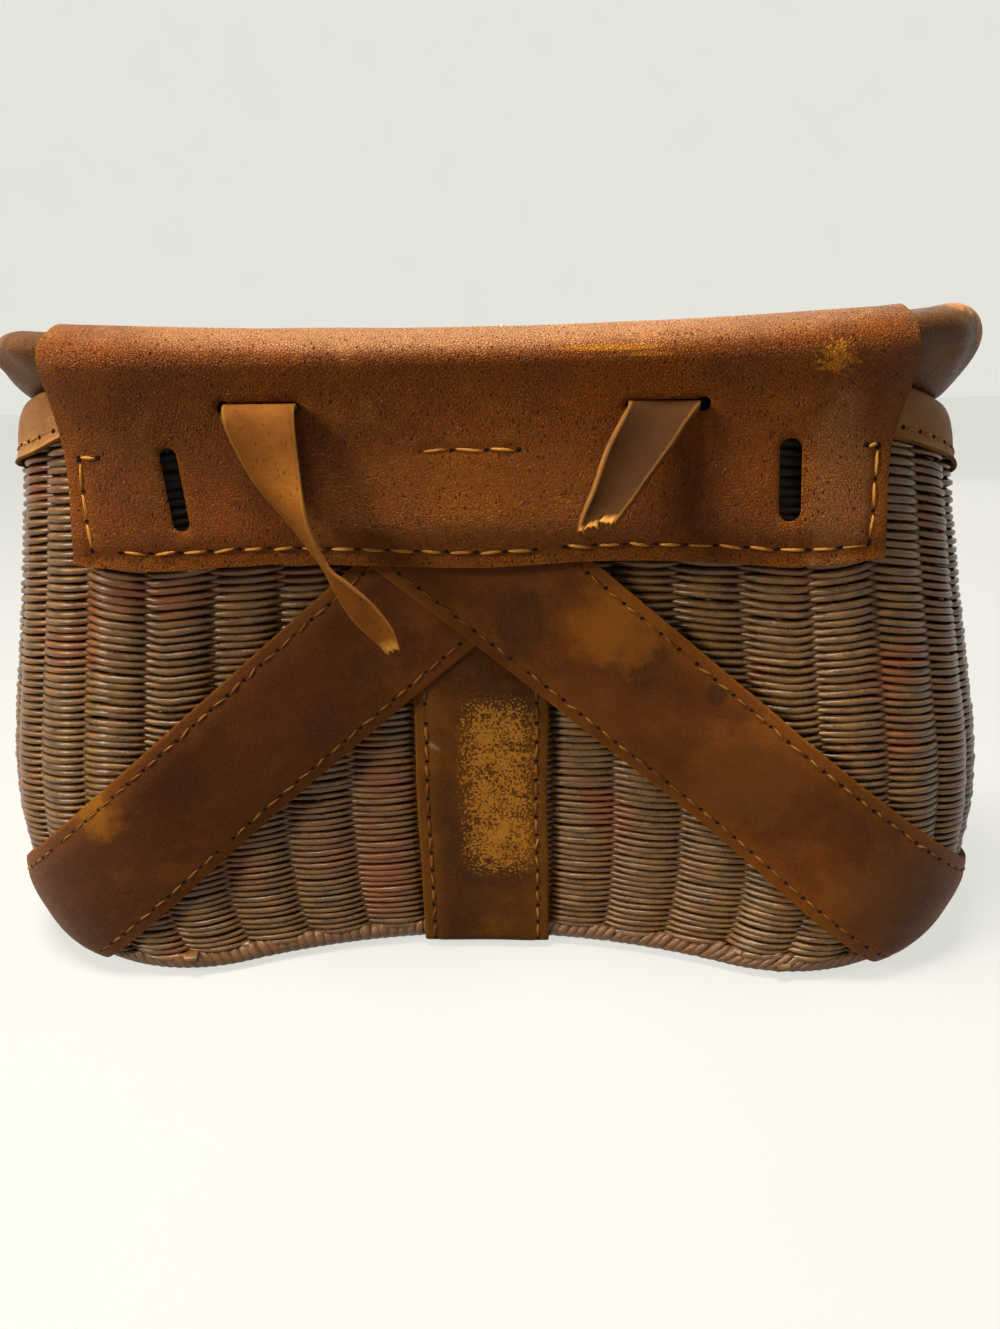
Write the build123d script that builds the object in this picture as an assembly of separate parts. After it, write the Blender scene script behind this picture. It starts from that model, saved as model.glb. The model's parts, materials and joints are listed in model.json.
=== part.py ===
"""Leather-bound wicker fishing creel, in millimetres.

The back, which lies on the wearer's hip, faces -Y. The bowed front faces +Y and the length runs along X.
While it is modelled, y = 0 is the plane that touches the two swells of the back. At the end every piece
moves together, so that the origin is under the middle of the whole, on the table.
"""
from build123d import *
from functools import cache
from math import atan2, cos, degrees, pi, sin, sqrt
import os

# ---- driving dimensions ---------------------------------------------------------------------------
LEATHER = 2.4          # strap and binding leather
GAP = 0.3              # air between pieces that lie on each other
WALL = 7.8             # woven wall: stake, weavers on both sides
STRAP_W = 50.8         # two-inch reinforcing straps
STRAP_TILT = 40.0      # slope of the crossed straps, degrees
CROSS_Z = 164.6        # height at which the straps' centre lines cross
CROSS_TOP = 174.0      # the crossed straps end here, under the flap's lower seam
CENTRE_TOP = 207.0     # the upright strap is caught by the short seam in the flap's middle

# height, half width, depth of the hollow in the back, reach of the bowed front
BODY_LEVELS = [
    (2.4, 176.0, 26.3, 150.0),
    (8.0, 185.0, 26.0, 156.0),
    (20.0, 194.0, 25.0, 163.0),
    (45.0, 200.5, 23.5, 168.0),
    (78.0, 200.0, 21.5, 168.0),
    (112.0, 193.0, 19.0, 164.0),
    (150.0, 184.5, 16.0, 158.5),
    (190.0, 177.5, 13.2, 153.0),
    (226.0, 172.0, 10.8, 149.5),
]
FORM_HEIGHTS = (2.4, 10, 26, 61, 98, 150, 226)
END_ROUND = 0.33       # radius of the rounded ends, as a share of the half width
COLUMNS = 38           # upright stakes; each shows as a column of the weave
SHOULDER = 0.26        # a column's flat middle starts at this share of its width
VALLEY = 2.3           # hollow between two columns, on both faces of the wall
EASE = 0.45            # the columns stay this far clear of the leather that lies on the wall
LIFT_Z = (61, 98)      # between these heights a strap rises over the ones it crosses

BORDER_TOP = 8.0       # height of the plaited foot border
BORDER_W = 12.0        # width of the foot border, inwards from the wall
BASE_BOTTOM, BASE_TOP = 3.4, 11.0

RIM_Z = 222.0          # rim height at the middle of the back and of the front
RIM_DROP = 10.0        # the rim sinks this much towards the two ends
RIM_HALF = 172.0
BINDING_H = 22.0       # leather channel over the rim
BINDING_W = 10.0       # how far its inner leg lies inside the outer face of the weave
BINDING_END_X = 128.0  # the channel stops here, under the flap

# the lid's own plan, and its rolled edge: height, growth over that plan
LID_HALF, LID_HOLLOW, LID_FRONT = 173.0, 4.4, 150.0
LID_ROLL = [(208.0, -1.0), (220.0, 5.0), (228.0, 9.0), (235.0, 9.8), (240.0, 6.0), (242.0, -1.0)]
LID_TOP = 242.0
LID_BORDER_W = 12.0    # the roll's inner edge, inside the lid's plan
PANEL_BOTTOM, PANEL_TOP = 229.0, 237.0
PANEL_STAKE = 24.0     # distance between the panel's stakes, which show as low ridges
PANEL_VALLEY = 2.0
FISH_HOLE = (92.0, 36.0)
FISH_HOLE_Y = 76.0
TRIM_W = 12.0

FLAP_HALF = 139.5
FLAP_BOTTOM = 159.0
FLAP_SPLIT = 222.0     # the line where the flap's leather bends when the lid opens
FLAP_OVER_TOP = 54.0   # how far the flap lies over the lid
FLAP_LEATHER = 2.6
# height, hollow of the flap's plan, growth of its inner face
FLAP_LEVELS = [(150.0, 6.8, 1.0), (163.0, 6.2, 1.4), (176.0, 3.6, 3.2), (205.0, 3.6, 3.2), (226.0, 4.4, 7.0)]
LEFT_SLOT_X, RIGHT_SLOT_X = -99.0, 105.0
SLOT_Z, SLOT_L, SLOT_W, SLOT_LEAN = 189.5, 29.5, 6.6, 4.0
SLIT_Z, SLIT_H, SLIT_HOLE_R = 216.4, 3.0, 2.3
LEFT_SLIT = (-80.0, -54.0)
RIGHT_SLIT = (50.5, 76.5)

THONG = 1.8            # thong leather

CLOSER_W = 24.0        # closing strap
CLOSER_Y, CLOSER_Z = 164.2, 238.0
BAR_Z, BAR_R = 172.0, 1.7
FRAME_W, FRAME_H = 32.0, 24.3
KEEPER_Z = (183.0, 193.0)
KEEPER_ROOM = 7.6
BILLET_W, BILLET_FOOT, BILLET_TIP = 23.0, 100.0, 200.0
RIVET_H = 1.5

LENGTH = 600.0         # longer than the creel, for cutting tools


# ---- plan curves and forms ------------------------------------------------------------------------
def polar(centre, radius, angle):
    return (centre[0] + radius * cos(angle), centre[1] + radius * sin(angle))


def plan_arcs(half, hollow, front):
    """Radii of the plan's end, back and front arcs, and the angles at which they meet."""
    end = END_ROUND * half
    ex = half - end
    back_r = (ex**2 + (end - hollow)**2 - end**2) / (2 * hollow)
    front_r = (ex**2 + (front - end)**2 - end**2) / (2 * (front - 2 * end))
    to_back = atan2(end - (hollow - back_r), ex)
    to_front = atan2(end - (front - front_r), ex)
    return end, back_r, front_r, to_back, to_front


def kidney(z, half, hollow, front, grow=0.0):
    """Closed kidney outline: hollow back arc, two round ends, bowed front arc, all tangent."""
    end, back_r, front_r, to_back, to_front = plan_arcs(half, hollow, front)
    heel = polar((0, hollow - back_r), back_r - grow, to_back)
    toe = polar((0, front - front_r), front_r + grow, to_front)
    tip = polar((half - end, end), end + grow, (to_back - pi + to_front) / 2)

    def at(p, side=1):
        return (side * p[0], p[1], z)

    return Wire([
        Edge.make_three_point_arc(at(heel, -1), (0, hollow - grow, z), at(heel)),
        Edge.make_three_point_arc(at(heel), at(tip), at(toe)),
        Edge.make_three_point_arc(at(toe), (0, front + grow, z), at(toe, -1)),
        Edge.make_three_point_arc(at(toe, -1), at(tip, -1), at(heel, -1)),
    ])


def plan_point(z, way, grow):
    """Point a share of the way round the basket: 0 is the middle of the back, 1 that of the front."""
    half, hollow, front = body_at(z)
    end, back_r, front_r, to_back, to_front = plan_arcs(half, hollow, front)
    back, side = back_r * (pi / 2 - to_back), end * (to_front - to_back + pi)
    s = abs(way) * (back + side + front_r * (pi / 2 - to_front))
    if s <= back:
        x, y = polar((0, hollow - back_r), back_r - grow, pi / 2 - s / back_r)
    elif s <= back + side:
        x, y = polar((half - end, end), end + grow, to_back - pi + (s - back) / end)
    else:
        x, y = polar((0, front - front_r), front_r + grow, to_front + (s - back - side) / front_r)
    return (x if way > 0 else -x, y, z)


def rise(z, low, high):
    """0 below low, 1 above high, straight between."""
    return min(1.0, max(0.0, (z - low) / (high - low)))


def body_at(z):
    """Half width, hollow and front of the basket at a height, on smooth curves through BODY_LEVELS."""
    rows = BODY_LEVELS
    i = max(j for j in range(len(rows) - 1) if rows[j][0] <= z)
    before, a, b, after = rows[max(i - 1, 0)], rows[i], rows[i + 1], rows[min(i + 2, len(rows) - 1)]
    step = b[0] - a[0]
    t = (z - a[0]) / step
    values = []
    for k in (1, 2, 3):
        slope_a = (b[k] - before[k]) / (b[0] - before[0]) * step
        slope_b = (after[k] - a[k]) / (after[0] - a[0]) * step
        bend = (2 * t**3 - 3 * t**2 + 1) * a[k] + (3 * t**2 - 2 * t**3) * b[k]
        values.append(bend + (t**3 - 2 * t**2 + t) * slope_a + (t**3 - t**2) * slope_b)
    return values


def front_at(z):
    """Reach of the outer form's bowed front, which is straight from level to level."""
    i = max(j for j in range(len(FORM_HEIGHTS) - 1) if FORM_HEIGHTS[j] <= z)
    low, high = FORM_HEIGHTS[i], FORM_HEIGHTS[i + 1]
    t = rise(z, low, high)
    return (1 - t) * body_at(low)[2] + t * body_at(high)[2]


@cache
def body_form(grow=0.0, floor=None, lift=0.0):
    """The basket's outer form, grown outwards. lift raises it further where the straps cross."""
    rings = []
    for i, z in enumerate(FORM_HEIGHTS):
        foot = floor if i == 0 and floor is not None else z
        rings.append(kidney(foot, *body_at(z), grow + lift * rise(z, *LIFT_Z)))
    return Solid.make_loft(rings, True)


@cache
def lid_form(grow=0.0):
    """The lid's rolled outer form. Growth also lifts its top."""
    rings = []
    for z, roll in LID_ROLL:
        up = grow * rise(z, 232.0, LID_TOP)
        rings.append(kidney(z + up, LID_HALF, LID_HOLLOW, LID_FRONT, roll + grow))
    return Solid.make_loft(rings, True)


@cache
def flap_form(grow=0.0):
    rings = []
    for z, hollow, out in FLAP_LEVELS:
        rings.append(kidney(z, body_at(z)[0], hollow, LID_FRONT, out + grow))
    return Solid.make_loft(rings, True)


def lid_plug(grow, low, high):
    face = Face(kidney(low, LID_HALF, LID_HOLLOW, LID_FRONT, grow))
    return extrude(face, high - low, (0, 0, 1))


@cache
def under_rim(offset=0.0):
    """Everything below the saddle-shaped rim, moved up by offset."""
    radius = (RIM_HALF**2 + RIM_DROP**2) / (2 * RIM_DROP)
    return Pos(0, 75, RIM_Z - radius) * Rot(90, 0, 0) * Cylinder(radius + offset, LENGTH)


def block(x0, x1, y0, y1, z0, z1):
    """A box from its six faces, for cutting."""
    return Pos((x0 + x1) / 2, (y0 + y1) / 2, (z0 + z1) / 2) * Box(x1 - x0, y1 - y0, z1 - z0)


def through_y(face_xz, y0, y1):
    """Extrude a sketch drawn on XZ from y0 to y1."""
    return Pos(0, y1, 0) * extrude(face_xz, y1 - y0)


# ---- woven basket ---------------------------------------------------------------------------------
def woven_form(grow, valley):
    """The wall's form with its columns: each stands proud between two valleys."""
    rings = []
    for z in FORM_HEIGHTS:
        points = []
        for i in range(COLUMNS):
            points.append(plan_point(z, 2 * i / COLUMNS - 1, grow - valley))
            points.append(plan_point(z, 2 * (i + SHOULDER) / COLUMNS - 1, grow))
            points.append(plan_point(z, 2 * (i + 1 - SHOULDER) / COLUMNS - 1, grow))
        rings.append(Wire.make_polygon(points, close=True))
    return Solid.make_loft(rings, True)


def make_body_weave():
    wall = woven_form(-EASE, VALLEY) - woven_form(EASE - WALL, -VALLEY)
    return wall & under_rim(-9.0) & block(-LENGTH, LENGTH, -LENGTH, LENGTH, BORDER_TOP, RIM_Z)


@cache
def base_outline(low, high):
    level = BODY_LEVELS[0]
    face = Face(kidney(low, level[1], level[2], level[3], -BORDER_W))
    return extrude(face, high - low, (0, 0, 1))


def make_foot_border():
    ring = body_form() & block(-LENGTH, LENGTH, -LENGTH, LENGTH, 0, BORDER_TOP)
    return ring - base_outline(0, 20)


def make_base_weave():
    return base_outline(BASE_BOTTOM, BASE_TOP)


def make_rim_hoop():
    ring = body_form(-0.4) - body_form(-7.4)
    return (ring & under_rim(-2.6)) - under_rim(-8.7)


def make_rim_binding():
    skin = body_form(LEATHER - 0.2) - body_form(-BINDING_W)
    band = (skin & under_rim()) - under_rim(-BINDING_H)
    filling = (body_form() - body_form(-WALL)) & under_rim(-LEATHER)
    band = band - filling
    return band - block(-BINDING_END_X, BINDING_END_X, -40, 45, 150, 260)


# ---- reinforcing straps ---------------------------------------------------------------------------
@cache
def leather_skin(lift=0.0):
    """A leather-thick cup over the outside and the underside of the basket."""
    outer = body_form(GAP + LEATHER, 0.0, lift)
    inner = body_form(GAP, LEATHER - 0.1, lift)
    return outer - inner


def slanted(side, s0, s1, width, y0, y1):
    """A slab that runs down from the crossing to one side; s is measured along the strap."""
    slab = Pos((s0 + s1) / 2, (y0 + y1) / 2, 0) * Box(s1 - s0, y1 - y0, width)
    slab = Rot(0, STRAP_TILT, 0) * slab
    slab = Pos(0, 0, CROSS_Z) * slab
    return slab if side > 0 else mirror(slab, Plane.YZ)


def make_cross_strap(side, lift):
    """From behind the flap, down the back, round the bottom corner and a little way up the front."""
    strap = leather_skin(lift) & slanted(side, -60, 300, STRAP_W, -40, 220)
    strap = strap & block(-LENGTH, LENGTH, -LENGTH, LENGTH, -5, CROSS_TOP)
    return strap - slanted(side, -80, 165, STRAP_W + 60, 78, 260)


def make_centre_strap():
    strap = leather_skin() & block(-STRAP_W / 2, STRAP_W / 2, -40, 220, -5, CENTRE_TOP)
    return strap - block(-60, 60, 80, 260, BILLET_FOOT - 1.0, 260)


# ---- hinge flap -----------------------------------------------------------------------------------
def flap_outline():
    """Seen from behind: nearly straight bottom, waist above it, wider over the lid's roll."""
    corner, waist = (FLAP_HALF, FLAP_BOTTOM + 3.5), (FLAP_HALF - 2, 200)
    roll, top = (FLAP_HALF + 4, 229), (FLAP_HALF, 262)
    half = Curve() + [
        ThreePointArc((0, FLAP_BOTTOM), (70, FLAP_BOTTOM + 0.9), corner),
        Spline(corner, waist, roll, top),
        Line(top, (0, 262)),
    ]
    return make_face(half + mirror(half, Plane.YZ))


def slit(ends, hole_x):
    x0, x1 = ends
    cut = block(x0, x1, -30, 30, SLIT_Z - SLIT_H / 2, SLIT_Z + SLIT_H / 2)
    return cut + Pos(hole_x, 0, SLIT_Z) * Rot(90, 0, 0) * Cylinder(SLIT_HOLE_R, 60)


def belt_slot(x, lean):
    pill = Rot(90, 0, 0) * extrude(Rot(0, 0, 90) * SlotOverall(SLOT_L, SLOT_W), 30, both=True)
    return Pos(x, 0, SLOT_Z) * Rot(0, lean, 0) * pill


def make_flap_back():
    sheet = flap_form(FLAP_LEATHER) - flap_form()
    outline = through_y(Plane.XZ * flap_outline(), -60, 40)
    sheet = sheet & outline
    sheet = sheet & block(-200, 200, -60, 40, 100, FLAP_SPLIT - GAP / 2)
    sheet = sheet - belt_slot(LEFT_SLOT_X, -SLOT_LEAN)
    sheet = sheet - belt_slot(RIGHT_SLOT_X, SLOT_LEAN)
    sheet = sheet - slit(LEFT_SLIT, LEFT_SLIT[0])
    return sheet - slit(RIGHT_SLIT, RIGHT_SLIT[1])


def make_flap_top():
    sheet = lid_form(GAP + FLAP_LEATHER) - lid_form(GAP)
    outline = through_y(Plane.XZ * flap_outline(), -60, FLAP_OVER_TOP)
    sheet = sheet & outline
    return sheet & block(-200, 200, -60, FLAP_OVER_TOP, FLAP_SPLIT + GAP / 2, 270)


# ---- thongs ---------------------------------------------------------------------------------------
THONG_AXIS_Y = -7.4


def make_thong_root(ends):
    """The end of a thong that is drawn through its slit and turned down behind the flap."""
    x0, x1 = ends[0] + 0.7, ends[1] - 0.7
    half = THONG / 2
    leg = block(x0, x1, THONG_AXIS_Y + 1.3, 1.6, SLIT_Z - half, SLIT_Z + half)
    return leg + block(x0, x1, 1.6 - THONG, 1.6, 206.0, SLIT_Z + half)


def ribbon(stations, thick):
    """A twisted leather ribbon: each station is a centre, a width and the width's direction."""
    rings = []
    for (cx, cy, cz), width, (dx, dy, dz) in stations:
        size = sqrt(dx**2 + dy**2 + dz**2)
        across = Vector(dx, dy, dz) / size
        plane = Plane(origin=(cx, cy, cz), x_dir=across, z_dir=across.cross(Vector(0, -1, 0.02)))
        rings.append((plane * Rectangle(width, thick)).wire())
    return Solid.make_loft(rings, True)


def make_thong_left():
    """Hangs free to the right and turns edge-on half way down, with a pointed end."""
    y = THONG_AXIS_Y
    stations = [
        ((-67.0, y - 0.1, SLIT_Z + 0.4), 24.0, (1, 0, 0)),
        ((-65.8, y - 3.0, SLIT_Z - 7.0), 23.0, (1, 0.05, -0.02)),
        ((-57.5, y - 8.5, 188.0), 13.0, (1, 0.6, 0.1)),
        ((-50.0, y - 11.0, 172.0), 10.5, (1, 1.4, 0.2)),
        ((-39.5, y - 12.0, 156.0), 11.0, (1, 0.8, 0.5)),
        ((-28.0, y - 12.0, 137.0), 3.0, (1, 0.2, 0.6)),
    ]
    return ribbon(stations, THONG)


def make_thong_right():
    """Shorter: droops from its slit and curls away from the flap, with a torn end."""
    y = THONG_AXIS_Y
    stations = [
        ((63.5, y - 0.1, SLIT_Z + 0.4), 24.0, (1, 0, 0)),
        ((62.2, y - 4.0, SLIT_Z - 5.0), 24.0, (1, 0, 0.03)),
        ((52.5, y - 10.0, 197.0), 21.0, (1, 0.04, 0.2)),
        ((45.5, y - 14.2, 184.0), 17.0, (1, 0.05, 0.3)),
        ((42.5, y - 16.0, 179.0), 12.0, (1, 0.05, 0.3)),
    ]
    return ribbon(stations, THONG)


# ---- lid ------------------------------------------------------------------------------------------
def above_rim(offset):
    """Room for the lid: everything over the saddle-shaped rim."""
    return block(-220, 220, -60, 220, 150, 300) - under_rim(offset)


def make_lid_binding():
    skin = lid_form() - lid_form(-LEATHER)
    skin = skin - lid_plug(-LID_BORDER_W, 190, 270)
    return skin & above_rim(GAP + 0.1)


def make_lid_border():
    ring = lid_form(-LEATHER - 0.2) - lid_plug(-LID_BORDER_W, 190, 270)
    return ring & above_rim(GAP + 0.2)


def make_lid_panel():
    panel = lid_plug(-LID_BORDER_W, PANEL_BOTTOM, PANEL_TOP)
    for i in range(-7, 7):
        x = (i + 0.5) * PANEL_STAKE
        valley = Polyline((x - PANEL_STAKE / 4, PANEL_TOP), (x, PANEL_TOP - PANEL_VALLEY),
                          (x + PANEL_STAKE / 4, PANEL_TOP), (x, PANEL_TOP + 1), close=True)
        panel = panel - through_y(make_face(Plane.XZ * valley), -20, LENGTH / 2)
    length, depth = FISH_HOLE
    return panel - Pos(0, FISH_HOLE_Y, PANEL_TOP) * Box(length + 3.6, depth + 3.6, 40)


def make_fish_hole_trim():
    """Leather facing sewn round the hole, with a lining down through the weave."""
    length, depth = FISH_HOLE
    face = RectangleRounded(length + 2 * TRIM_W, depth + 2 * TRIM_W, 7)
    trim = Pos(0, FISH_HOLE_Y, PANEL_TOP) * extrude(face, 2.0)
    lining = block(-length / 2 - 1.8, length / 2 + 1.8, FISH_HOLE_Y - depth / 2 - 1.8,
                   FISH_HOLE_Y + depth / 2 + 1.8, PANEL_BOTTOM - 1.0, PANEL_TOP + 1.0)
    trim = trim + lining
    return trim - Pos(0, FISH_HOLE_Y, PANEL_TOP) * extrude(RectangleRounded(length, depth, 4), 30, both=True)


# ---- closure on the front -------------------------------------------------------------------------
def rivet_head(radius):
    """Low round head that stands on z = 0."""
    return Cone(radius, 0.6 * radius, RIVET_H, align=(Align.CENTER, Align.CENTER, Align.MIN)).solid()


def make_strap_anchor():
    """The sewn end of the closing strap, over the lid's front edge."""
    sheet = lid_form(GAP + LEATHER) - lid_form(GAP)
    return sheet & block(-CLOSER_W / 2, CLOSER_W / 2, 139, 190, 231, 260)


def make_anchor_rivets():
    top = LID_TOP + GAP + LEATHER
    return Compound(children=[Pos(x, 146, top) * rivet_head(3.2) for x in (-6, 6)])


def make_closing_strap():
    """Hangs from the lid's front edge; its lower end is folded round the buckle's bar."""
    half = CLOSER_W / 2
    strip = block(-half, half, CLOSER_Y - 1.2, CLOSER_Y + 1.2, BAR_Z + 2.6, CLOSER_Z)
    head = Pos(0, CLOSER_Y, CLOSER_Z) * Rot(0, 90, 0) * Cylinder(1.2, CLOSER_W)
    fold = Pos(0, CLOSER_Y, BAR_Z) * Rot(0, 90, 0) * Cylinder(BAR_R + GAP + 2.2, CLOSER_W)
    hole = Pos(0, CLOSER_Y, BAR_Z) * Rot(0, 90, 0) * Cylinder(BAR_R + GAP, 80)
    window = block(-2.6, 2.6, CLOSER_Y - 8, CLOSER_Y + 8, BAR_Z - 8, BAR_Z + 5.5)
    return strip + head + fold - hole - window


def make_strap_keeper():
    z0, z1 = KEEPER_Z
    half = CLOSER_W / 2
    back = CLOSER_Y - 1.2
    outer = block(-half - 2.3, half + 2.3, back - 1.8, back + KEEPER_ROOM + 1.8, z0, z1)
    outer = fillet(outer.edges().filter_by(Axis.Z), 1.7)
    return outer - block(-half - 0.3, half + 0.3, back, back + KEEPER_ROOM, z0 - 5, z1 + 5)


def make_buckle_frame():
    """Brass frame with a heel bar at its top; the lower corners are rounded."""
    wire = 2 * BAR_R
    middle = BAR_Z + BAR_R - FRAME_H / 2 - BAR_R / 2
    outer = RectangleRounded(FRAME_W, FRAME_H + BAR_R, 5)
    inner = RectangleRounded(FRAME_W - 2 * wire, FRAME_H + BAR_R - 2 * wire, 2.4)
    plate = Rot(90, 0, 0) * extrude(outer - inner, BAR_R, both=True)
    plate = Pos(0, CLOSER_Y, middle) * plate
    plate = plate - block(-12.4, 12.4, CLOSER_Y - 9, CLOSER_Y + 9, BAR_Z - 4, BAR_Z + 9)
    return plate + Pos(0, CLOSER_Y, BAR_Z) * Rot(0, 90, 0) * Cylinder(BAR_R, 26)


def make_buckle_prong():
    """Pivots on the heel bar and rests on the far side of the frame."""
    ring = Cylinder(BAR_R + 1.6, 4.0) - Cylinder(BAR_R + 0.2, 6.0)
    ring = Pos(0, CLOSER_Y, BAR_Z) * Rot(0, 90, 0) * ring
    front = CLOSER_Y + BAR_R + 0.2
    root = block(-2.0, 2.0, front, front + 1.8, BAR_Z - 8, BAR_Z + 0.4)
    finger = block(-1.3, 1.3, front, front + 1.6, BAR_Z - 24.0, BAR_Z - 8)
    collar = Pos(0, CLOSER_Y, BAR_Z) * Rot(0, 90, 0) * Cylinder(BAR_R + 0.2, 6.0)
    return ring + (root - collar) + finger


def make_billet():
    """Strap with holes on the front, which the buckle takes."""
    half = BILLET_W / 2
    heights = (BILLET_FOOT, 125.0, 150.0, 175.0, BILLET_TIP)
    inner = [(front_at(z) + GAP, z) for z in heights]
    outer = [(y + LEATHER, z) for y, z in reversed(inner)]
    strap = extrude(make_face(Plane.YZ * Polyline(*inner, *outer, close=True)), half, both=True)
    outline = make_face(Polyline((-half, BILLET_FOOT), (half, BILLET_FOOT), (half, BILLET_TIP - half),
                                 (0, BILLET_TIP), (-half, BILLET_TIP - half), close=True))
    strap = strap & through_y(Plane.XZ * outline, 80, 220)
    for i in range(5):
        strap = strap - Pos(0, 160, 136 + 11 * i) * Rot(90, 0, 0) * Cylinder(1.7, 60)
    return strap


def make_billet_rivets():
    """Two brass rivets through the foot of the billet."""
    rivets = []
    for z in (107, 119):
        lean = degrees(atan2(front_at(z - 7) - front_at(z + 7), 14))
        face = front_at(z) + GAP + LEATHER + 0.05
        rivets.append(Pos(0, face, z) * Rot(lean - 90, 0, 0) * rivet_head(3.6))
    return Compound(children=rivets)


# ---- the assembly ---------------------------------------------------------------------------------
def make_parts():
    return {
        "body_weave": make_body_weave(),
        "foot_border": make_foot_border(),
        "base_weave": make_base_weave(),
        "rim_hoop": make_rim_hoop(),
        "rim_binding": make_rim_binding(),
        "centre_strap": make_centre_strap(),
        "cross_strap_left": make_cross_strap(-1, LEATHER + GAP),
        "cross_strap_right": make_cross_strap(1, 2 * (LEATHER + GAP)),
        "flap_back": make_flap_back(),
        "flap_top": make_flap_top(),
        "thong_root_left": make_thong_root(LEFT_SLIT),
        "thong_root_right": make_thong_root(RIGHT_SLIT),
        "thong_left": make_thong_left(),
        "thong_right": make_thong_right(),
        "lid_panel": make_lid_panel(),
        "lid_border": make_lid_border(),
        "lid_binding": make_lid_binding(),
        "fish_hole_trim": make_fish_hole_trim(),
        "strap_anchor": make_strap_anchor(),
        "anchor_rivets": make_anchor_rivets(),
        "closing_strap": make_closing_strap(),
        "strap_keeper": make_strap_keeper(),
        "buckle_frame": make_buckle_frame(),
        "buckle_prong": make_buckle_prong(),
        "billet": make_billet(),
        "billet_rivets": make_billet_rivets(),
    }


def main():
    os.makedirs("parts", exist_ok=True)
    parts = make_parts()
    whole = Compound(children=[Compound(list(p.solids())) for p in parts.values()]).bounding_box()
    shift = Pos(0, -(whole.min.Y + whole.max.Y) / 2, 0)
    print("shift in y", round(shift.position.Y, 3), "box", whole.min, whole.max)
    for name, shape in parts.items():
        solids = shape.solids()
        moved = shift * (solids[0] if len(solids) == 1 else Compound(list(solids)))
        export_step(moved, f"parts/{name}.step")


main()
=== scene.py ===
# %% [markdown]
# # A leather-bound wicker creel
# The creel is a kidney-shaped basket of split willow. Leather covers its rim, three straps bind its wall,
# and one wide flap of leather is both the lid's cover at the back and its hinge.
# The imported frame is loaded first. It gives the place of every piece, so nothing is fitted afterwards.

# %% Load the creel's frame
import json
import math

import bmesh
import bpy
import numpy as np
from mathutils import Matrix, Vector


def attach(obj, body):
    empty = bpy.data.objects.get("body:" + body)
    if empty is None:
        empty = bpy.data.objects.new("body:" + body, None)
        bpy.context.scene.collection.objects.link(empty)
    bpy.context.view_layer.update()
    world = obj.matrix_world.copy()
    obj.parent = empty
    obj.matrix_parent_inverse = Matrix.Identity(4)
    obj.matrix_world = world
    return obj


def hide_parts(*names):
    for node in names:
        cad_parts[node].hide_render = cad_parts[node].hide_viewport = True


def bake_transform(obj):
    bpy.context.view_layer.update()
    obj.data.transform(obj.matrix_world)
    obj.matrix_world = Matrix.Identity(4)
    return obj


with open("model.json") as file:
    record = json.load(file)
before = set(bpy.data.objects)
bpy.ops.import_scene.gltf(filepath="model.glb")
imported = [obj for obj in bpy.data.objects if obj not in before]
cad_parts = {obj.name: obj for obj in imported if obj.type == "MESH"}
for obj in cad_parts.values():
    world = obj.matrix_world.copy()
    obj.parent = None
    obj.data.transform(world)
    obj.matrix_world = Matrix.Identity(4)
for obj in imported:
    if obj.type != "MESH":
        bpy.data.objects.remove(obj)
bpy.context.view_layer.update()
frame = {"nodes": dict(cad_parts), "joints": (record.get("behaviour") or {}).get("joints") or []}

MM = 0.001
rng = np.random.default_rng(7)
print("frame pieces:", len(frame["nodes"]))

# %% [markdown]
# ## The kidney plan
# Seen from above, the basket is a kidney: a hollow back that fits the hip, two round ends and a bowed
# front. It could be drawn as a curve object. A formula is better here, because the weave, the straps and
# the bindings all need points on it, at any height and at any distance outside it.
# Lengths are in millimetres from the plane that touches the back's two swells. They become metres in the
# frame only when a mesh is placed.

# %% The plan's arcs
BACK_Y = frame["joints"][0]["pos_m"][1] + 9.2 * MM   # the hinge line runs 9.2 mm behind the swells
END_ROUND = 0.33                                     # end radius, as a share of the half width


def arcs(shape):
    """Centres, radii, meeting angles and lengths of the plan's back, end and front arcs."""
    half, hollow, front = shape
    end = END_ROUND * half
    ex = half - end
    back_r = (ex**2 + (end - hollow)**2 - end**2) / (2 * hollow)
    front_r = (ex**2 + (front - end)**2 - end**2) / (2 * (front - 2 * end))
    back_y, front_y = hollow - back_r, front - front_r
    heel = np.arctan2(end - back_y, ex)
    toe = np.arctan2(end - front_y, ex)
    lengths = back_r * (np.pi / 2 - heel), end * (toe - heel + np.pi), front_r * (np.pi / 2 - toe)
    return ex, end, back_r, back_y, front_r, front_y, heel, toe, lengths


def ring(shape, u, out=0.0):
    """Points of a plan and their outward directions. u is 0 at the middle of the back, 1 or -1 in front."""
    ex, end, back_r, back_y, front_r, front_y, heel, toe, (first, second, third) = arcs(shape)
    s = np.abs(u) * (first + second + third)
    back, sides = s <= first, s <= first + second
    angle = np.where(back, np.pi / 2 - s / back_r,
                     np.where(sides, heel - np.pi + (s - first) / end, toe + (s - first - second) / front_r))
    radius = np.where(back, back_r - out, np.where(sides, end + out, front_r + out))
    centre_x = np.where(back | ~sides, 0.0, ex)
    centre_y = np.where(back, back_y, np.where(sides, end, front_y))
    side, turn = np.where(u < 0, -1.0, 1.0), np.where(back, -1.0, 1.0)
    x, y = side * (centre_x + radius * np.cos(angle)), centre_y + radius * np.sin(angle)
    return x, y, side * turn * np.cos(angle), turn * np.sin(angle)


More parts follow.
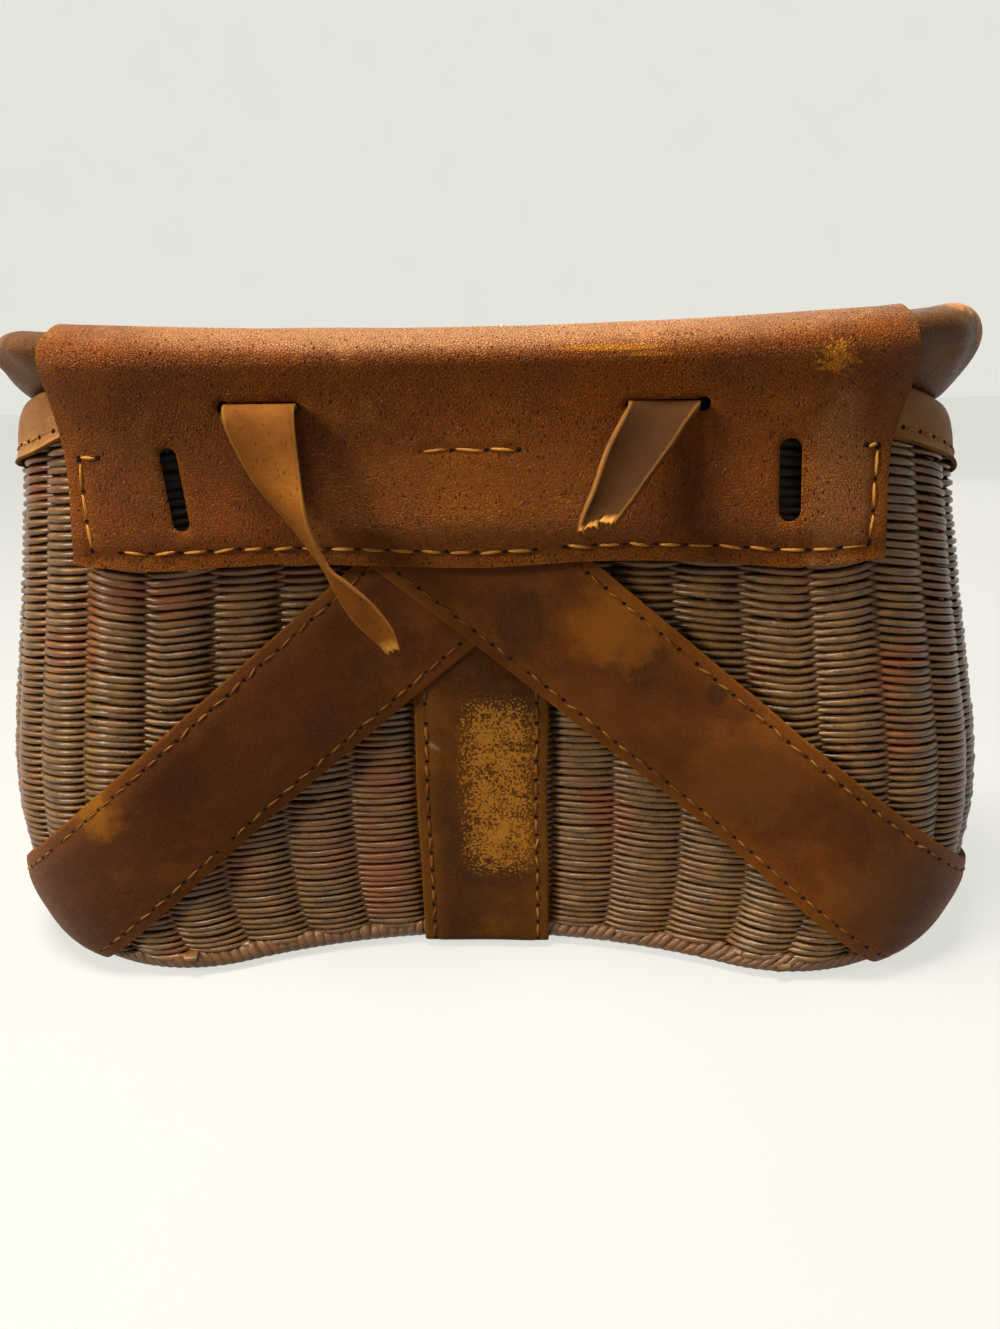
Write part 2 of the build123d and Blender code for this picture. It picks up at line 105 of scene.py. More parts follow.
def back_line(shape, x, out=0.0):
    """Depth of the back at a distance x from the middle."""
    ex, end, back_r, back_y, _, _, heel, _, _ = arcs(shape)
    limit = (back_r - out) * np.cos(heel)
    hollow_part = back_y + np.sqrt((back_r - out)**2 - np.minimum(np.abs(x), limit)**2)
    round_part = end - np.sqrt(np.maximum((end + out)**2 - (np.abs(x) - ex)**2, 0))
    return np.where(np.abs(x) < limit, hollow_part, round_part)


# %% The basket's shape from foot to rim
HEIGHTS = np.array([2.4, 8, 20, 45, 78, 112, 150, 190, 226])
HALF_WIDTHS = np.array([176, 185, 194, 200.5, 200, 193, 184.2, 176.2, 169.5])
HOLLOWS = np.array([26.3, 26, 25, 23.5, 21.5, 19, 16, 13.2, 10.8])
FRONTS = np.array([150, 156, 163, 168, 168, 164, 158.5, 153, 149.5])
RIM_Z, RIM_HALF, RIM_DROP = 222.0, 172.0, 10.0
RIM_RADIUS = (RIM_HALF**2 + RIM_DROP**2) / (2 * RIM_DROP)


def through(at, keys, values):
    """Smooth curve through a list of values, read at any places between the keys."""
    keys, values = np.asarray(keys, float), np.asarray(values, float)
    at = np.clip(at, keys[0], keys[-1])
    i = np.clip(np.searchsorted(keys, at, side="right") - 1, 0, len(keys) - 2)
    step = keys[i + 1] - keys[i]
    t = (at - keys[i]) / step
    slope = np.gradient(values, keys)
    ends = (2 * t**3 - 3 * t**2 + 1) * values[i] + (3 * t**2 - 2 * t**3) * values[i + 1]
    return ends + step * ((t**3 - 2 * t**2 + t) * slope[i] + (t**3 - t**2) * slope[i + 1])


def step_up(value, low, high):
    return np.clip((value - low) / (high - low), 0, 1)


def body_at(z):
    return tuple(through(z, HEIGHTS, column) for column in (HALF_WIDTHS, HOLLOWS, FRONTS))


def rim_at(x, y=120.0):
    """The rim sinks a little towards the ends, and climbs again where the flap pulls at it."""
    saddle = RIM_Z - RIM_RADIUS + np.sqrt(RIM_RADIUS**2 - np.clip(x, -200, 200)**2)
    left = through(y, [0, 15, 25, 50, 90], [9.5, 8.8, 7.4, 5.0, 0])
    right = through(y, [0, 10, 30, 50, 90], [7.3, 5.4, 1.2, 0, 0])
    return saddle + np.where(x < 0, left, right) * step_up(np.abs(x), 112, 138)


around = 2 * sum(arcs(body_at(112.0))[-1])
print("way round the basket at mid height:", round(float(around)), "mm")

# %% [markdown]
# ## A sheet that is bent into place
# Most of the creel is bent sheet: leather round a wall, or the flat pattern of a weave. Each sheet could
# be modelled in place, face by face. It is quicker and cleaner to start from a flat grid and to move its
# points with one formula. The same call can cut holes, keep notes on the points for the materials, and
# weld edges that meet.

# %% Bend a grid
def in_frame(points):
    """Millimetres from the back's plane to metres in the frame."""
    x, y, z = points
    return np.stack([x * MM, BACK_Y + y * MM, z * MM], axis=-1)


def bent_grid(columns, rows, place, drop=None, pull=None, notes=None):
    """A bmesh grid whose flat u, v (0 to 1) are turned into places by place(u, v)."""
    bm = bmesh.new()
    bmesh.ops.create_grid(bm, x_segments=columns, y_segments=rows, size=0.5)
    if drop:
        middle = np.array([face.calc_center_median().xy for face in bm.faces]) + 0.5
        gone = drop(middle[:, 0], middle[:, 1])
        bmesh.ops.delete(bm, geom=[f for f, g in zip(bm.faces, gone) if g], context="FACES")
    flat = np.array([vert.co.xy for vert in bm.verts]) + 0.5
    if pull:
        border = np.array([vert.is_boundary for vert in bm.verts])
        flat = pull(flat, border)
    u, v = flat[:, 0], flat[:, 1]
    for vert, point in zip(bm.verts, in_frame(place(u, v))):
        vert.co = point
    for name, values in (notes(u, v) if notes else {}).items():
        layer = bm.verts.layers.float.new(name)
        for vert, value in zip(bm.verts, values):
            vert[layer] = value
    bmesh.ops.remove_doubles(bm, verts=bm.verts, dist=1e-6)
    return bm


def made_piece(name, bm, materials, body, stands_for=()):
    """A finished object from a bmesh, riding on its body."""
    mesh = bpy.data.meshes.new(name)
    bm.normal_update()
    bm.to_mesh(mesh)
    bm.free()
    mesh.shade_smooth()
    for material in materials:
        mesh.materials.append(material)
    piece = bpy.data.objects.new(name, mesh)
    bpy.context.scene.collection.objects.link(piece)
    if body:
        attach(piece, body)
    if stands_for:
        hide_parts(*stands_for)
    print(name, len(mesh.polygons), "faces")
    return piece


# %% [markdown]
# ## Node groups for the finishes
# Leather grain, worn edges, stains and willow fibre each appear in several materials. Each is one shader
# group, built once and placed in a material with its own values. The groups give out only masks, tones
# and heights, and the shader stays in the material.

# %% Short ways to write nodes
def tone(red, green, blue):
    """A screen colour as the linear colour that a shader wants."""
    linear = [((c / 255 + 0.055) / 1.055)**2.4 if c > 10 else c / 255 / 12.92 for c in (red, green, blue)]
    return (*linear, 1.0)


def add_node(tree, kind, values=None, **settings):
    node = tree.nodes.new(kind)
    for key, value in settings.items():
        setattr(node, key, value)
    for key, value in (values or {}).items():
        if isinstance(value, bpy.types.NodeSocket):
            tree.links.new(value, node.inputs[key])
        else:
            node.inputs[key].default_value = value
    return node


def maths(tree, operation, first, second=0.0, third=0.0, clamp=False):
    node = add_node(tree, "ShaderNodeMath", {0: first, 1: second, 2: third}, operation=operation)
    node.use_clamp = clamp
    return node.outputs[0]


def ramp(tree, value, low, high, to_low=0.0, to_high=1.0):
    """Smooth step of a value between two limits."""
    node = add_node(tree, "ShaderNodeMapRange", {"Value": value, "From Min": low, "From Max": high,
                                                 "To Min": to_low, "To Max": to_high})
    node.interpolation_type = "SMOOTHSTEP"
    return node.outputs["Result"]


def mixed(tree, factor, first, second, blend="MIX"):
    node = add_node(tree, "ShaderNodeMix", data_type="RGBA", blend_type=blend)
    for key, value in ((0, factor), (6, first), (7, second)):
        if isinstance(value, bpy.types.NodeSocket):
            tree.links.new(value, node.inputs[key])
        else:
            node.inputs[key].default_value = value
    return node.outputs[2]


def speckle(tree, vector, scale, detail=3.0, rough=0.55):
    """Noise value, with scale in features per metre."""
    values = {"Vector": vector, "Scale": scale, "Detail": detail, "Roughness": rough}
    return add_node(tree, "ShaderNodeTexNoise", values).outputs["Fac"]


def new_group(name, inputs, outputs):
    """An empty shader group with its sockets, and its two end nodes."""
    tree = bpy.data.node_groups.new(name, "ShaderNodeTree")
    for label, kind, value in inputs:
        socket = tree.interface.new_socket(label, in_out="INPUT", socket_type=kind)
        if value is not None:
            socket.default_value = value
    for label in outputs:
        tree.interface.new_socket(label, in_out="OUTPUT", socket_type="NodeSocketFloat")
    return tree, tree.nodes.new("NodeGroupInput").outputs, tree.nodes.new("NodeGroupOutput").inputs


def placed(tree, group, values):
    """Put a group in a material."""
    node = add_node(tree, "ShaderNodeGroup")
    node.node_tree = group
    for key, value in values.items():
        if isinstance(value, bpy.types.NodeSocket):
            tree.links.new(value, node.inputs[key])
        else:
            node.inputs[key].default_value = value
    return node.outputs


# %% Pigskin grain
# Pigskin shows short dark pores in rows of three and a net of fine creases between them.
grain_group, given, result = new_group(
    "pigskin grain",
    [("Vector", "NodeSocketVector", None), ("Cell", "NodeSocketFloat", 2.4), ("Creases", "NodeSocketFloat", 1.0)],
    ["Height", "Pores", "Mottle", "Net"])
tree = grain_group
per_metre = maths(tree, "DIVIDE", 1000.0, given["Cell"])
bend = add_node(tree, "ShaderNodeTexNoise", {"Vector": given["Vector"], "Scale": 260.0, "Detail": 2.0})
shift = add_node(tree, "ShaderNodeVectorMath", {0: bend.outputs["Color"], "Scale": 0.0016}, operation="SCALE")
bent = add_node(tree, "ShaderNodeVectorMath", {0: given["Vector"], 1: shift.outputs[0]}).outputs[0]
net = add_node(tree, "ShaderNodeTexVoronoi", {"Vector": bent, "Scale": maths(tree, "MULTIPLY", per_metre, 2.0)},
               feature="DISTANCE_TO_EDGE")
crease = ramp(tree, net.outputs["Distance"], 0.0, 0.2, 1.0, 0.0)
long_way = add_node(tree, "ShaderNodeVectorMath", {0: bent, 1: (1.25, 0.9, 0.62)}, operation="MULTIPLY").outputs[0]
dots = add_node(tree, "ShaderNodeTexVoronoi", {"Vector": long_way, "Scale": per_metre, "Randomness": 0.8})
dot = ramp(tree, dots.outputs["Distance"], 0.1, 0.26, 1.0, 0.0)
patch = ramp(tree, speckle(tree, given["Vector"], 90.0, 2.0), 0.1, 0.42)
pores = maths(tree, "MULTIPLY", dot, patch)
fine = speckle(tree, given["Vector"], 1100.0, 3.0, 0.65)
sunk = maths(tree, "MULTIPLY", maths(tree, "MULTIPLY", crease, 0.8), given["Creases"])
height = maths(tree, "SUBTRACT", maths(tree, "MULTIPLY", fine, 0.7), sunk)
tree.links.new(maths(tree, "SUBTRACT", height, maths(tree, "MULTIPLY", pores, 0.8)), result["Height"])
tree.links.new(pores, result["Pores"])
tree.links.new(crease, result["Net"])
cloud = speckle(tree, given["Vector"], 22.0, 5.0, 0.6)
tree.links.new(ramp(tree, cloud, 0.32, 0.68), result["Mottle"])

# %% Worn edges and stains
wear_group, given, result = new_group(
    "edge wear",
    [("Vector", "NodeSocketVector", None), ("Edge", "NodeSocketFloat", 50.0), ("Width", "NodeSocketFloat", 2.0)],
    ["Mask"])
tree = wear_group
ragged = maths(tree, "MULTIPLY", speckle(tree, given["Vector"], 260.0, 4.0, 0.65), 1.6)
reach = maths(tree, "MULTIPLY", given["Width"], ragged)
tree.links.new(maths(tree, "SUBTRACT", 1.0, maths(tree, "DIVIDE", given["Edge"], reach), clamp=True), result["Mask"])

stain_group, given, result = new_group(
    "stain",
    [("Vector", "NodeSocketVector", None), ("Centre", "NodeSocketVector", (0, 0, 0)),
     ("Stretch", "NodeSocketVector", (1, 1, 1)), ("Radius", "NodeSocketFloat", 0.01),
     ("Ragged", "NodeSocketFloat", 0.5), ("Grain", "NodeSocketFloat", 120.0)],
    ["Mask"])
tree = stain_group
away = add_node(tree, "ShaderNodeVectorMath", {0: given["Vector"], 1: given["Centre"]}, operation="SUBTRACT")
scaled = add_node(tree, "ShaderNodeVectorMath", {0: away.outputs[0], 1: given["Stretch"]}, operation="MULTIPLY")
far = add_node(tree, "ShaderNodeVectorMath", {0: scaled.outputs[0]}, operation="LENGTH").outputs["Value"]
rough_edge = maths(tree, "SUBTRACT", speckle(tree, given["Vector"], given["Grain"], 5.0, 0.65), 0.5)
near = maths(tree, "SUBTRACT", 1.0, maths(tree, "DIVIDE", far, given["Radius"]))
near = maths(tree, "ADD", near, maths(tree, "MULTIPLY", rough_edge, maths(tree, "MULTIPLY", given["Ragged"], 3.0)))
tree.links.new(ramp(tree, near, 0.05, 0.55), result["Mask"])

# %% Willow fibre
# Split willow has long fibres, a soft sheen and a tone of its own for each rod.
fibre_group, given, result = new_group(
    "willow fibre",
    [("Vector", "NodeSocketVector", None), ("Along", "NodeSocketFloat", 0.0), ("Rod", "NodeSocketFloat", 0.0)],
    ["Height", "Rod Tone", "Patch", "Streak"])
tree = fibre_group
number = add_node(tree, "ShaderNodeCombineXYZ", {"X": given["Rod"], "Y": maths(tree, "MULTIPLY", given["Along"], 2.5)})
rods = add_node(tree, "ShaderNodeTexNoise", {"Vector": number.outputs[0], "Scale": 1.0, "Detail": 1.0})
streak_at = add_node(tree, "ShaderNodeCombineXYZ", {
    "X": maths(tree, "MULTIPLY", given["Along"], 28.0), "Y": maths(tree, "MULTIPLY", given["Rod"], 3.7)})
height_axis = add_node(tree, "ShaderNodeSeparateXYZ", {0: given["Vector"]}).outputs["Z"]
tree.links.new(maths(tree, "MULTIPLY", height_axis, 2600.0), streak_at.inputs["Z"])
streak = add_node(tree, "ShaderNodeTexNoise", {"Vector": streak_at.outputs[0], "Scale": 1.0, "Detail": 3.0})
tree.links.new(streak.outputs["Fac"], result["Height"])
tree.links.new(ramp(tree, streak.outputs["Fac"], 0.35, 0.7), result["Streak"])
tree.links.new(ramp(tree, rods.outputs["Fac"], 0.3, 0.7), result["Rod Tone"])
tree.links.new(ramp(tree, speckle(tree, given["Vector"], 34.0, 3.0), 0.5, 0.72), result["Patch"])
print("shader groups:", len(bpy.data.node_groups))


# %% [markdown]
# ## Leather
# All the leather is one hide, but it has aged differently: the flap is rubbed and glossy, the crossed
# straps are dark with old stains, the upright strap is scuffed down to its suede. One function makes each
# leather from its tones, its wear and its marks. A mark is a place on the creel, so it stays where it is
# when the lid moves. Most marks are stains and wear, but some are painted light: a painted highlight along
# the top of the flap's roll, a painted sheen band beside the right belt slot, and painted shade on the lower
# part of the left strap. Each seam's groove is darkened with painted shade too.

# %% Make a leather
def new_material(name):
    material = bpy.data.materials.new(name)
    material.use_nodes = True
    tree = material.node_tree
    place = add_node(tree, "ShaderNodeTexCoord").outputs["Object"]
    return material, tree, tree.nodes["Principled BSDF"], place


def bumped(tree, height, strength, distance=0.0004):
    bump = add_node(tree, "ShaderNodeBump", {"Height": height, "Strength": strength, "Distance": distance})
    return bump.outputs["Normal"]


def spot(x, y, z):
    """A place on the creel, given in millimetres, in the frame."""
    return (x * MM, BACK_Y + y * MM, z * MM)


def leather(name, base, dark, worn, cell=2.4, gloss=0.42, marks=(), edge_width=1.6, grain=0.5,
            edge_strength=0.5, margin=0.3, groove_at=4.4, pore_strength=0.6, shine=0.16):
    material, tree, shader, place = new_material(name)
    grain_out = placed(tree, grain_group, {"Vector": place, "Cell": cell})
    edge = add_node(tree, "ShaderNodeAttribute", attribute_name="edge").outputs["Fac"]
    colour = mixed(tree, grain_out["Mottle"], tone(*dark), tone(*base))
    cloud = ramp(tree, speckle(tree, place, 60.0, 4.0, 0.6), 0.5, 0.72)
    colour = mixed(tree, maths(tree, "MULTIPLY", cloud, 0.3), colour, tone(*worn))
    near_edge = maths(tree, "MULTIPLY", ramp(tree, edge, 3.0, 12.0, 1.0, 0.0), speckle(tree, place, 80.0, 4.0))
    colour = mixed(tree, maths(tree, "MULTIPLY", near_edge, margin * 2), colour, tone(*worn))
    # the seam groove's mask: a real dent in the bump, and painted shade in the colour
    groove = ramp(tree, maths(tree, "ABSOLUTE", maths(tree, "SUBTRACT", edge, groove_at)), 0.2, 0.9, 1.0, 0.0)
    for centre, radius, paint, strength, ragged, stretch, grain_size in marks:
        mask = placed(tree, stain_group, {"Vector": place, "Centre": spot(*centre), "Radius": radius * MM,
                                          "Ragged": ragged, "Stretch": stretch, "Grain": grain_size})["Mask"]
        colour = mixed(tree, maths(tree, "MULTIPLY", mask, strength), colour, tone(*paint))
    # painted shade: the seam groove is darkened in colour
    colour = mixed(tree, maths(tree, "MULTIPLY", groove, margin), colour, tone(44, 20, 4))
    rub = placed(tree, wear_group, {"Vector": place, "Edge": edge, "Width": edge_width})["Mask"]
    colour = mixed(tree, maths(tree, "MULTIPLY", rub, edge_strength), colour, tone(*worn))
    colour = mixed(tree, maths(tree, "MULTIPLY", grain_out["Net"], pore_strength * 0.3), colour, tone(46, 20, 3))
    dust = ramp(tree, speckle(tree, place, 1300.0, 3.0, 0.7), 0.42, 0.72)
    colour = mixed(tree, maths(tree, "MULTIPLY", dust, 0.22), colour, tone(*worn))
    colour = mixed(tree, maths(tree, "MULTIPLY", grain_out["Pores"], pore_strength), colour, tone(34, 14, 2))
    tree.links.new(colour, shader.inputs["Base Color"])
    rough = maths(tree, "ADD", gloss, maths(tree, "MULTIPLY", speckle(tree, place, 320.0, 3.0), 0.2))
    tree.links.new(maths(tree, "ADD", rough, maths(tree, "MULTIPLY", rub, 0.2)), shader.inputs["Roughness"])
    relief = maths(tree, "SUBTRACT", grain_out["Height"], maths(tree, "MULTIPLY", groove, 0.8))
    tree.links.new(bumped(tree, relief, grain, 0.0005), shader.inputs["Normal"])
    shader.inputs["Specular IOR Level"].default_value = shine
    return material


def suede(name, base, dark, fuzz=0.7, tip=None):
    """The flesh side and cut edges: dull, fibrous, without grain. A tip is the tone of a frayed end."""
    material, tree, shader, place = new_material(name)
    nap = speckle(tree, place, 700.0, 4.0, 0.7)
    cloud = ramp(tree, speckle(tree, place, 45.0, 4.0), 0.35, 0.65)
    colour = mixed(tree, maths(tree, "MULTIPLY", cloud, nap), tone(*dark), tone(*base))
    if tip:
        frayed = ramp(tree, add_node(tree, "ShaderNodeAttribute", attribute_name="tip").outputs["Fac"], 0.93, 0.99)
        rim = ramp(tree, add_node(tree, "ShaderNodeAttribute", attribute_name="edge").outputs["Fac"], 0.3, 1.2, 1.0, 0.0)
        frayed = maths(tree, "MAXIMUM", frayed, maths(tree, "MULTIPLY", rim, 0.25))
        pores = placed(tree, grain_group, {"Vector": place, "Cell": 2.4})["Pores"]
        colour = mixed(tree, maths(tree, "MULTIPLY", pores, 0.6), colour, tone(70, 36, 8))
        colour = mixed(tree, frayed, colour, tone(*tip))
    tree.links.new(colour, shader.inputs["Base Color"])
    tree.links.new(maths(tree, "ADD", 0.72, maths(tree, "MULTIPLY", nap, 0.25)), shader.inputs["Roughness"])
    tree.links.new(bumped(tree, nap, fuzz), shader.inputs["Normal"])
    shader.inputs["Specular IOR Level"].default_value = 0.12
    return material


GOLD, DARK_STAIN = (188, 118, 20), (40, 20, 6)
EVEN, TALL = (1, 1, 1), (1.3, 1, 0.7)
flap_wear_and_painted_light = [
    # painted highlight: a broad pale band along the top of the flap's roll
    ((0, -12, 243), 165, (214, 158, 108), 0.45, 0.15, (1.0, 0.3, 13.0), 60.0),
    ((46, -12, 233.4), 22, GOLD, 0.8, 0.3, (1.0, 0.3, 17.0), 420.0),
    ((58, -12, 231.2), 9, GOLD, 0.6, 0.4, (1.0, 0.3, 10.0), 420.0),
    ((70, -12, 239.5), 4.0, GOLD, 0.6, 0.3, EVEN, 300.0),
    ((115, -12, 229), 6, GOLD, 0.85, 1.2, EVEN, 520.0),
    ((140, -8, 243), 7, (66, 50, 34), 0.7, 0.4, EVEN, 200.0),
    ((-115, -9, 195), 20, (92, 46, 16), 0.5, 0.4, EVEN, 60.0),
    # painted sheen: a pale upright band just right of the right belt slot
    ((120, -6, 190), 22, (170, 116, 66), 0.3, 0.4, (1.6, 1, 0.5), 90.0),
    ((0, -4, 180), 46, (132, 74, 16), 0.4, 0.5, (0.6, 1, 1), 60.0),
]
flap_leather = leather("flap leather", (130, 63, 3), (98, 45, 2), (166, 100, 14), cell=2.1, gloss=0.36,
                       marks=flap_wear_and_painted_light, grain=0.9, edge_strength=0.3, margin=0.12, groove_at=-9, pore_strength=0.8,
                       shine=0.12)
strap_stains_and_painted_shade = [
    ((16, 4, 141), 17, DARK_STAIN, 0.6, 0.6, EVEN, 90.0),
    ((58, 2, 131), 15, DARK_STAIN, 0.6, 0.6, TALL, 90.0),
    ((85, 2, 116), 6, DARK_STAIN, 0.7, 0.5, EVEN, 120.0),
    ((-55, 6, 103), 13, DARK_STAIN, 0.6, 0.6, EVEN, 90.0),
    ((-39, 6, 123), 11, DARK_STAIN, 0.55, 0.6, EVEN, 90.0),
    ((-70, 6, 118), 30, (86, 36, 8), 0.5, 0.4, EVEN, 50.0),
    ((-142, 2, 70), 12, GOLD, 0.5, 0.5, (0.7, 1, 1), 90.0),
    ((166, 20, 12), 8, GOLD, 0.9, 0.8, EVEN, 300.0),
    ((158, 10, 5), 6, GOLD, 0.9, 0.8, EVEN, 300.0),
    ((-170, 20, 8), 7, GOLD, 0.8, 0.8, EVEN, 300.0),
    ((48, 2, 140), 22, (150, 88, 18), 0.5, 0.5, EVEN, 70.0),
    ((100, 4, 84), 30, (122, 70, 22), 0.45, 0.5, EVEN, 60.0),
    ((150, 4, 40), 26, (98, 62, 28), 0.4, 0.5, EVEN, 60.0),
    # painted shade: the next two broad dark marks darken the lower part of the left strap
    ((-80, 6, 95), 70, (56, 24, 3), 0.45, 0.2, EVEN, 40.0),
    ((-150, 8, 40), 50, (50, 24, 4), 0.4, 0.2, EVEN, 40.0),
]
strap_leather = leather("strap leather", (98, 50, 6), (66, 28, 2), (140, 80, 16), cell=1.6, gloss=0.4,
                        marks=strap_stains_and_painted_shade, grain=0.4, pore_strength=0.3, shine=0.1)
centre_marks = [
    ((4, 20, 34), 10, DARK_STAIN, 0.6, 0.6, (0.6, 1, 1), 120.0),
    ((-17, 20, 90), 4, (180, 156, 120), 0.6, 0.5, EVEN, 300.0),
    ((12, 20, 104), 16, (56, 30, 8), 0.6, 0.5, EVEN, 90.0),
]
centre_leather = leather("scuffed strap leather", (84, 44, 4), (58, 29, 3), (140, 84, 16), cell=1.6,
                         gloss=0.45, marks=centre_marks, grain=0.45, pore_strength=0.3, shine=0.1)
roll_marks = [
    ((166, 24, 246.5), 9, GOLD, 0.9, 0.7, (0.7, 0.25, 1.6), 300.0),
    ((175, 26, 239.5), 7, GOLD, 0.9, 0.7, (1.3, 0.3, 0.7), 300.0),
    ((-169, 26, 238), 7, GOLD, 0.9, 0.7, (1.2, 0.3, 0.8), 300.0),
]
roll_leather = leather("roll leather", (98, 56, 9), (68, 34, 4), (160, 102, 28), cell=2.2, gloss=0.34,
                       marks=roll_marks, grain=0.5, margin=0.1, pore_strength=0.4, shine=0.12)
channel_leather = leather("channel leather", (166, 112, 58), (124, 78, 34), (186, 132, 70), cell=2.2, gloss=0.42,
                          edge_width=1.4, grain=0.5, margin=0.15, groove_at=4.4, pore_strength=0.3)
thong_leather = suede("left thong leather", (146, 88, 22), (104, 58, 12), tip=(186, 130, 52))
dark_thong = suede("right thong leather", (74, 42, 7), (54, 28, 4), tip=(188, 128, 54))
cut_edge = suede("cut leather edge", (164, 108, 46), (94, 54, 18), 0.5)
flesh_side = suede("leather flesh side", (118, 72, 34), (76, 42, 18), 0.6)

# %% The scuffed patch of the upright strap
# its grain is worn through in a net of fine cracks, so the paler suede shows in a tall box
tree, shader = centre_leather.node_tree, centre_leather.node_tree.nodes["Principled BSDF"]
before = shader.inputs["Base Color"].links[0].from_socket
place = tree.nodes["Texture Coordinate"].outputs["Object"]
at = add_node(tree, "ShaderNodeSeparateXYZ", {0: place}).outputs
across = ramp(tree, maths(tree, "ABSOLUTE", maths(tree, "SUBTRACT", at["X"], 0.0065)), 0.006, 0.019, 1, 0)
high = ramp(tree, maths(tree, "ABSOLUTE", maths(tree, "SUBTRACT", at["Z"], 0.072)), 0.026, 0.043, 1, 0)
box = maths(tree, "MULTIPLY", across, high)
net = speckle(tree, place, 1000.0, 3.0, 0.7)
clumps = maths(tree, "MULTIPLY", speckle(tree, place, 160.0, 2.0), 0.3)
bare = ramp(tree, maths(tree, "ADD", net, maths(tree, "MULTIPLY", clumps, box)), 0.58, 0.66)
bare = maths(tree, "MULTIPLY", bare, ramp(tree, box, 0.0, 0.35))
tree.links.new(mixed(tree, maths(tree, "MULTIPLY", bare, 0.75), before, tone(186, 124, 40)), shader.inputs["Base Color"])

# %% Willow, thread and brass
def painted_shade_behind_flap(tree, place):
    """Mask of the wall in the deep gap behind the flap, where the willow gets painted shade, nearly black, and more
    roughness.
    """
    at = add_node(tree, "ShaderNodeSeparateXYZ", {0: place}).outputs
    _, behind, _ = spot(0, 16, 0)
    deep = maths(tree, "MULTIPLY", ramp(tree, at["Z"], 0.168, 0.174), ramp(tree, at["Y"], behind, behind + 0.006, 1, 0))
    return maths(tree, "MULTIPLY", deep, ramp(tree, maths(tree, "ABSOLUTE", at["X"]), 0.130, 0.134, 1, 0))


def willow(name, base, dark, shine, patch):
    material, tree, shader, place = new_material(name)
    along = add_node(tree, "ShaderNodeAttribute", attribute_name="along").outputs["Fac"]
    rod = add_node(tree, "ShaderNodeAttribute", attribute_name="rod").outputs["Fac"]
    fibre = placed(tree, fibre_group, {"Vector": place, "Along": along, "Rod": rod})
    colour = mixed(tree, fibre["Rod Tone"], tone(*dark), tone(*base))
    colour = mixed(tree, maths(tree, "MULTIPLY", fibre["Streak"], 0.4), colour, tone(*shine))
    colour = mixed(tree, maths(tree, "MULTIPLY", fibre["Patch"], 0.5), colour, tone(*patch))
    flap_gap_shade = painted_shade_behind_flap(tree, place)
    # painted shade: the willow in the gap behind the flap is darkened nearly to black
    colour = mixed(tree, maths(tree, "MULTIPLY", flap_gap_shade, 0.9), colour, tone(9, 7, 6))
    tree.links.new(colour, shader.inputs["Base Color"])
    rough = maths(tree, "ADD", 0.22, maths(tree, "MULTIPLY", fibre["Height"], 0.2))
    tree.links.new(maths(tree, "ADD", rough, maths(tree, "MULTIPLY", flap_gap_shade, 0.5)), shader.inputs["Roughness"])
    tree.links.new(bumped(tree, fibre["Height"], 0.35, 0.0002), shader.inputs["Normal"])
    shader.inputs["Specular IOR Level"].default_value = 0.42
    return material


wall_willow = willow("old willow", (110, 74, 30), (64, 40, 12), (160, 118, 66), (132, 58, 10))
inner_willow = willow("willow stakes", (112, 72, 32), (80, 48, 20), (138, 98, 52), (118, 62, 22))
thread_material = suede("waxed thread", (226, 168, 84), (184, 120, 50), 0.8)
dark_thread = suede("dark thread", (176, 120, 56), (110, 66, 26), 0.8)
# painted shade: the stitch holes are small near-black discs
hole_shade_material = suede("painted stitch hole shade", (26, 12, 6), (16, 8, 4), 0.2)

brass, tree, shader, place = new_material("aged brass")
spots = ramp(tree, speckle(tree, place, 240.0, 5.0, 0.65), 0.4, 0.66)
tree.links.new(mixed(tree, spots, tone(184, 146, 76), tone(96, 68, 34)), shader.inputs["Base Color"])
tree.links.new(maths(tree, "ADD", 0.28, maths(tree, "MULTIPLY", spots, 0.35)), shader.inputs["Roughness"])
tree.links.new(bumped(tree, speckle(tree, place, 900.0), 0.2, 0.0002), shader.inputs["Normal"])
shader.inputs["Metallic"].default_value = 1.0
print("materials:", len(bpy.data.materials))

# %% [markdown]
# ## The woven wall
# The wall is woven of thin split rods, which pass in front of one stake and behind the next. The rows
# take turns, so each stake shows every second rod, and the columns interlock in a zigzag. A texture would
# look flat at the edges, and modelling each rod by itself would take far too long. So one wide grid is
# woven: six of its lines roll up into one rod, and a wave carries each rod in and out round the basket.

# %% Weave
BAYS = 38                       # spaces between stakes, all the way round
STEPS = 8                       # points of a rod for each stake it passes
CORNERS = 5                     # sides of a rod
ROWS = 146                      # rods from the foot to the rim
WALL = 7.8
ROD_HALF = 0.85                 # half the thickness of a split rod
WEAVE_FOOT = 8.2

row_jitter = rng.normal(0, 0.1, ROWS + 2)
row_weight = rng.uniform(0.94, 1.06, ROWS + 2)


def soft_waves(x, z):
    """Slow unevenness of hand work, about one unit high."""
    return (np.sin(x / 37 + 1.3) * np.sin(z / 29 + 0.4) + 0.6 * np.sin(x / 17 + z / 41 + 2.1)
            + 0.4 * np.sin(x / 9.7 - z / 23)) / 2


def row_height(rod, x, y=120.0):
    """Height of a rod: rows are finer at the foot, and follow the sagging rim at the top."""
    share = rod / ROWS
    top = rim_at(x, y) - 3.0
    return WEAVE_FOOT + (top - WEAVE_FOOT) * (0.86 * share + 0.14 * share**2)


# a split rod's section: distance outwards and height, each as a share of its half size
SECTION = np.array([(0.3, 0.94), (1.0, 0.42), (0.85, -0.74), (-0.8, -1.4), (-0.8, 1.4)])


def chance(rod, stake, seed):
    """An even number from -1 to 1 that belongs to one rod at one stake."""
    wild = np.sin(rod * 12.9898 + stake * 78.233 + seed * 37.719) * 43758.5453
    return 2 * (wild - np.floor(wild)) - 1


